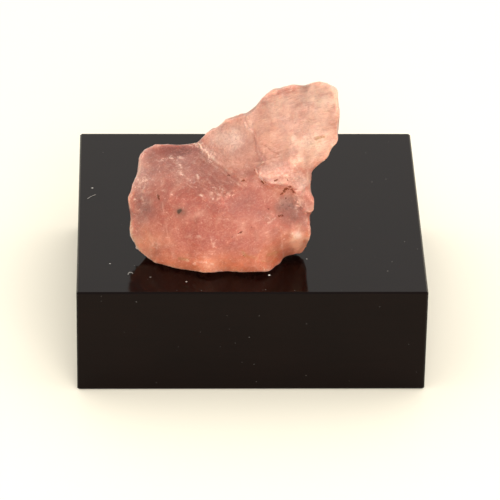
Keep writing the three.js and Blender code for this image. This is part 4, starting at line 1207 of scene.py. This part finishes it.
def fleck(rng, centre, size, out, side):
    """A small flat crumb that lies on a face of the block, its foot just inside it."""
    turns = math.tau * (np.arange(FLECK_SIDES) + 0.5 * rng.random(FLECK_SIDES)) / FLECK_SIDES
    radii = size / 2 * (0.6 + 0.7 * rng.random(FLECK_SIDES))
    stretch = 1 + 0.7 * rng.random()
    ring = np.outer(stretch * radii * np.cos(turns), side)
    ring += np.outer(radii * np.sin(turns), np.cross(out, side))
    points = np.vstack([ring + 0.08 * size * out, [-0.10 * size * out, 0.35 * size * out]])
    bottom, top = FLECK_SIDES, FLECK_SIDES + 1
    triangles = []
    for n in range(FLECK_SIDES):
        m = (n + 1) % FLECK_SIDES
        triangles += [(n, m, top), (m, n, bottom)]
    return points + centre, np.array(triangles)


def fibre(line):
    """A fine thread through its points, laid on the block's top."""
    line = np.array(line)
    t = np.linspace(0, len(line) - 1, FIBRE_STEPS * (len(line) - 1) + 1)
    path = np.stack([np.interp(t, range(len(line)), line[:, n]) for n in range(3)], axis=1)
    for _ in range(2):
        path[1:-1] = (path[:-2] + 2 * path[1:-1] + path[2:]) / 4
    path[:, 2] += BLOCK_TOP
    along = np.gradient(path, axis=0)
    along /= np.linalg.norm(along, axis=1)[:, None]
    side = np.cross(along, (0, 0, 1))
    up = np.cross(side, along)
    count = FIBRE_SIDES
    turns = math.tau * np.arange(count) / count
    rings = [path + FIBRE_RADIUS * (math.cos(a) * side + math.sin(a) * up) for a in turns]
    end = count * (len(path) - 1)
    triangles = [(0, m, m + 1) for m in range(1, count - 1)]
    triangles += [(end, end + m + 1, end + m) for m in range(1, count - 1)]
    for start in range(0, end, count):
        for m in range(count):
            a, b = start + m, start + (m + 1) % count
            triangles += [(a, a + count, b), (b, a + count, b + count)]
    return np.stack(rings, axis=1).reshape(-1, 3), np.array(triangles)


def make_dust():
    """Crumbs and fibres on the block, in one piece."""
    rng = np.random.default_rng(3)
    across, outwards, upwards = np.array((1.0, 0, 0)), np.array((0, -1.0, 0)), np.array((0, 0, 1.0))
    parts = [fleck(rng, (x, y, BLOCK_TOP), size, upwards, across) for x, y, size in TOP_FLECKS]
    parts += [fleck(rng, (x, BLOCK_FRONT, z), size, outwards, across) for x, z, size in FRONT_FLECKS]
    parts += [fibre(line) for line in FIBRES]
    shades = [min(max((size - 0.06) / 0.2, 0.1), 1) for _, _, size in TOP_FLECKS]
    shades += [0.04 + 0.5 * size for _, _, size in FRONT_FLECKS] + [0.55] * len(FIBRES)
    counts = [len(points) for points, _ in parts]
    starts = np.cumsum([0] + counts)
    triangles = np.vstack([corners + start for (_, corners), start in zip(parts, starts)])
    dust = mesh_object("dust", np.vstack([points for points, _ in parts]), triangles)
    store(dust.data, "shade", np.repeat(shades, counts))
    return dust


# Stage


def make_floor():
    mesh = bpy.data.meshes.new("floor")
    corners = [(x * FLOOR_HALF, y * FLOOR_HALF, 0) for x, y in ((-1, -1), (1, -1), (1, 1), (-1, 1))]
    mesh.from_pydata(corners, [], [(0, 1, 2, 3)])
    floor_material(mesh)
    floor = linked(bpy.data.objects.new("floor", mesh))


def make_camera():
    data = bpy.data.cameras.new("camera")
    data.lens = CAMERA_LENS
    data.sensor_width = CAMERA_SENSOR
    data.clip_start, data.clip_end = CAMERA_CLIP
    camera = linked(bpy.data.objects.new("camera", data))
    turned = Euler([math.radians(angle) for angle in CAMERA_TURN]).to_matrix().to_4x4()
    camera.matrix_world = Matrix.Translation(Vector(CAMERA_PLACE) * MM) @ turned
    bpy.context.scene.camera = camera


def make_softbox():
    data = bpy.data.lights.new("front", "AREA")
    data.shape = "SQUARE"
    data.size = SOFTBOX_SIZE
    data.energy = SOFTBOX_POWER
    data.color = SOFTBOX_COLOUR
    lamp = linked(bpy.data.objects.new("front", data))
    lamp.location = SOFTBOX_PLACE
    lamp.rotation_euler = (Vector(SOFTBOX_AIM) - Vector(SOFTBOX_PLACE)).to_track_quat("-Z", "Y").to_euler()


def light_scene():
    """Pale surroundings, brighter behind than in front and darker overhead, and a soft box."""
    world = bpy.data.worlds.new("studio")
    g = Graph(world)
    ray = g.node("ShaderNodeSeparateXYZ", Vector=g.node("ShaderNodeTexCoord").outputs["Generated"])
    around = g.ranged(ray.outputs["Y"], -0.9, 0.9, WORLD_FRONT, WORLD_BACK)
    above = g.ranged(ray.outputs["Z"], 0.35, 0.95, 1.0, WORLD_ZENITH)
    background = g.tree.nodes["Background"]
    background.inputs["Color"].default_value = WORLD_COLOUR
    g.feed(background.inputs["Strength"], g.times(around, above))
    bpy.context.scene.world = world
    bpy.context.scene.view_settings.view_transform = "Standard"
    make_softbox()


make_camera()
light_scene()
make_floor()
stone = make_stone()
stone_material(stone.data)
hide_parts("fluorite")
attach(stone, "root")
block.data.materials.clear()
block_material(block.data)
dust = make_dust()
dust_material(dust.data)
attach(dust, "root")
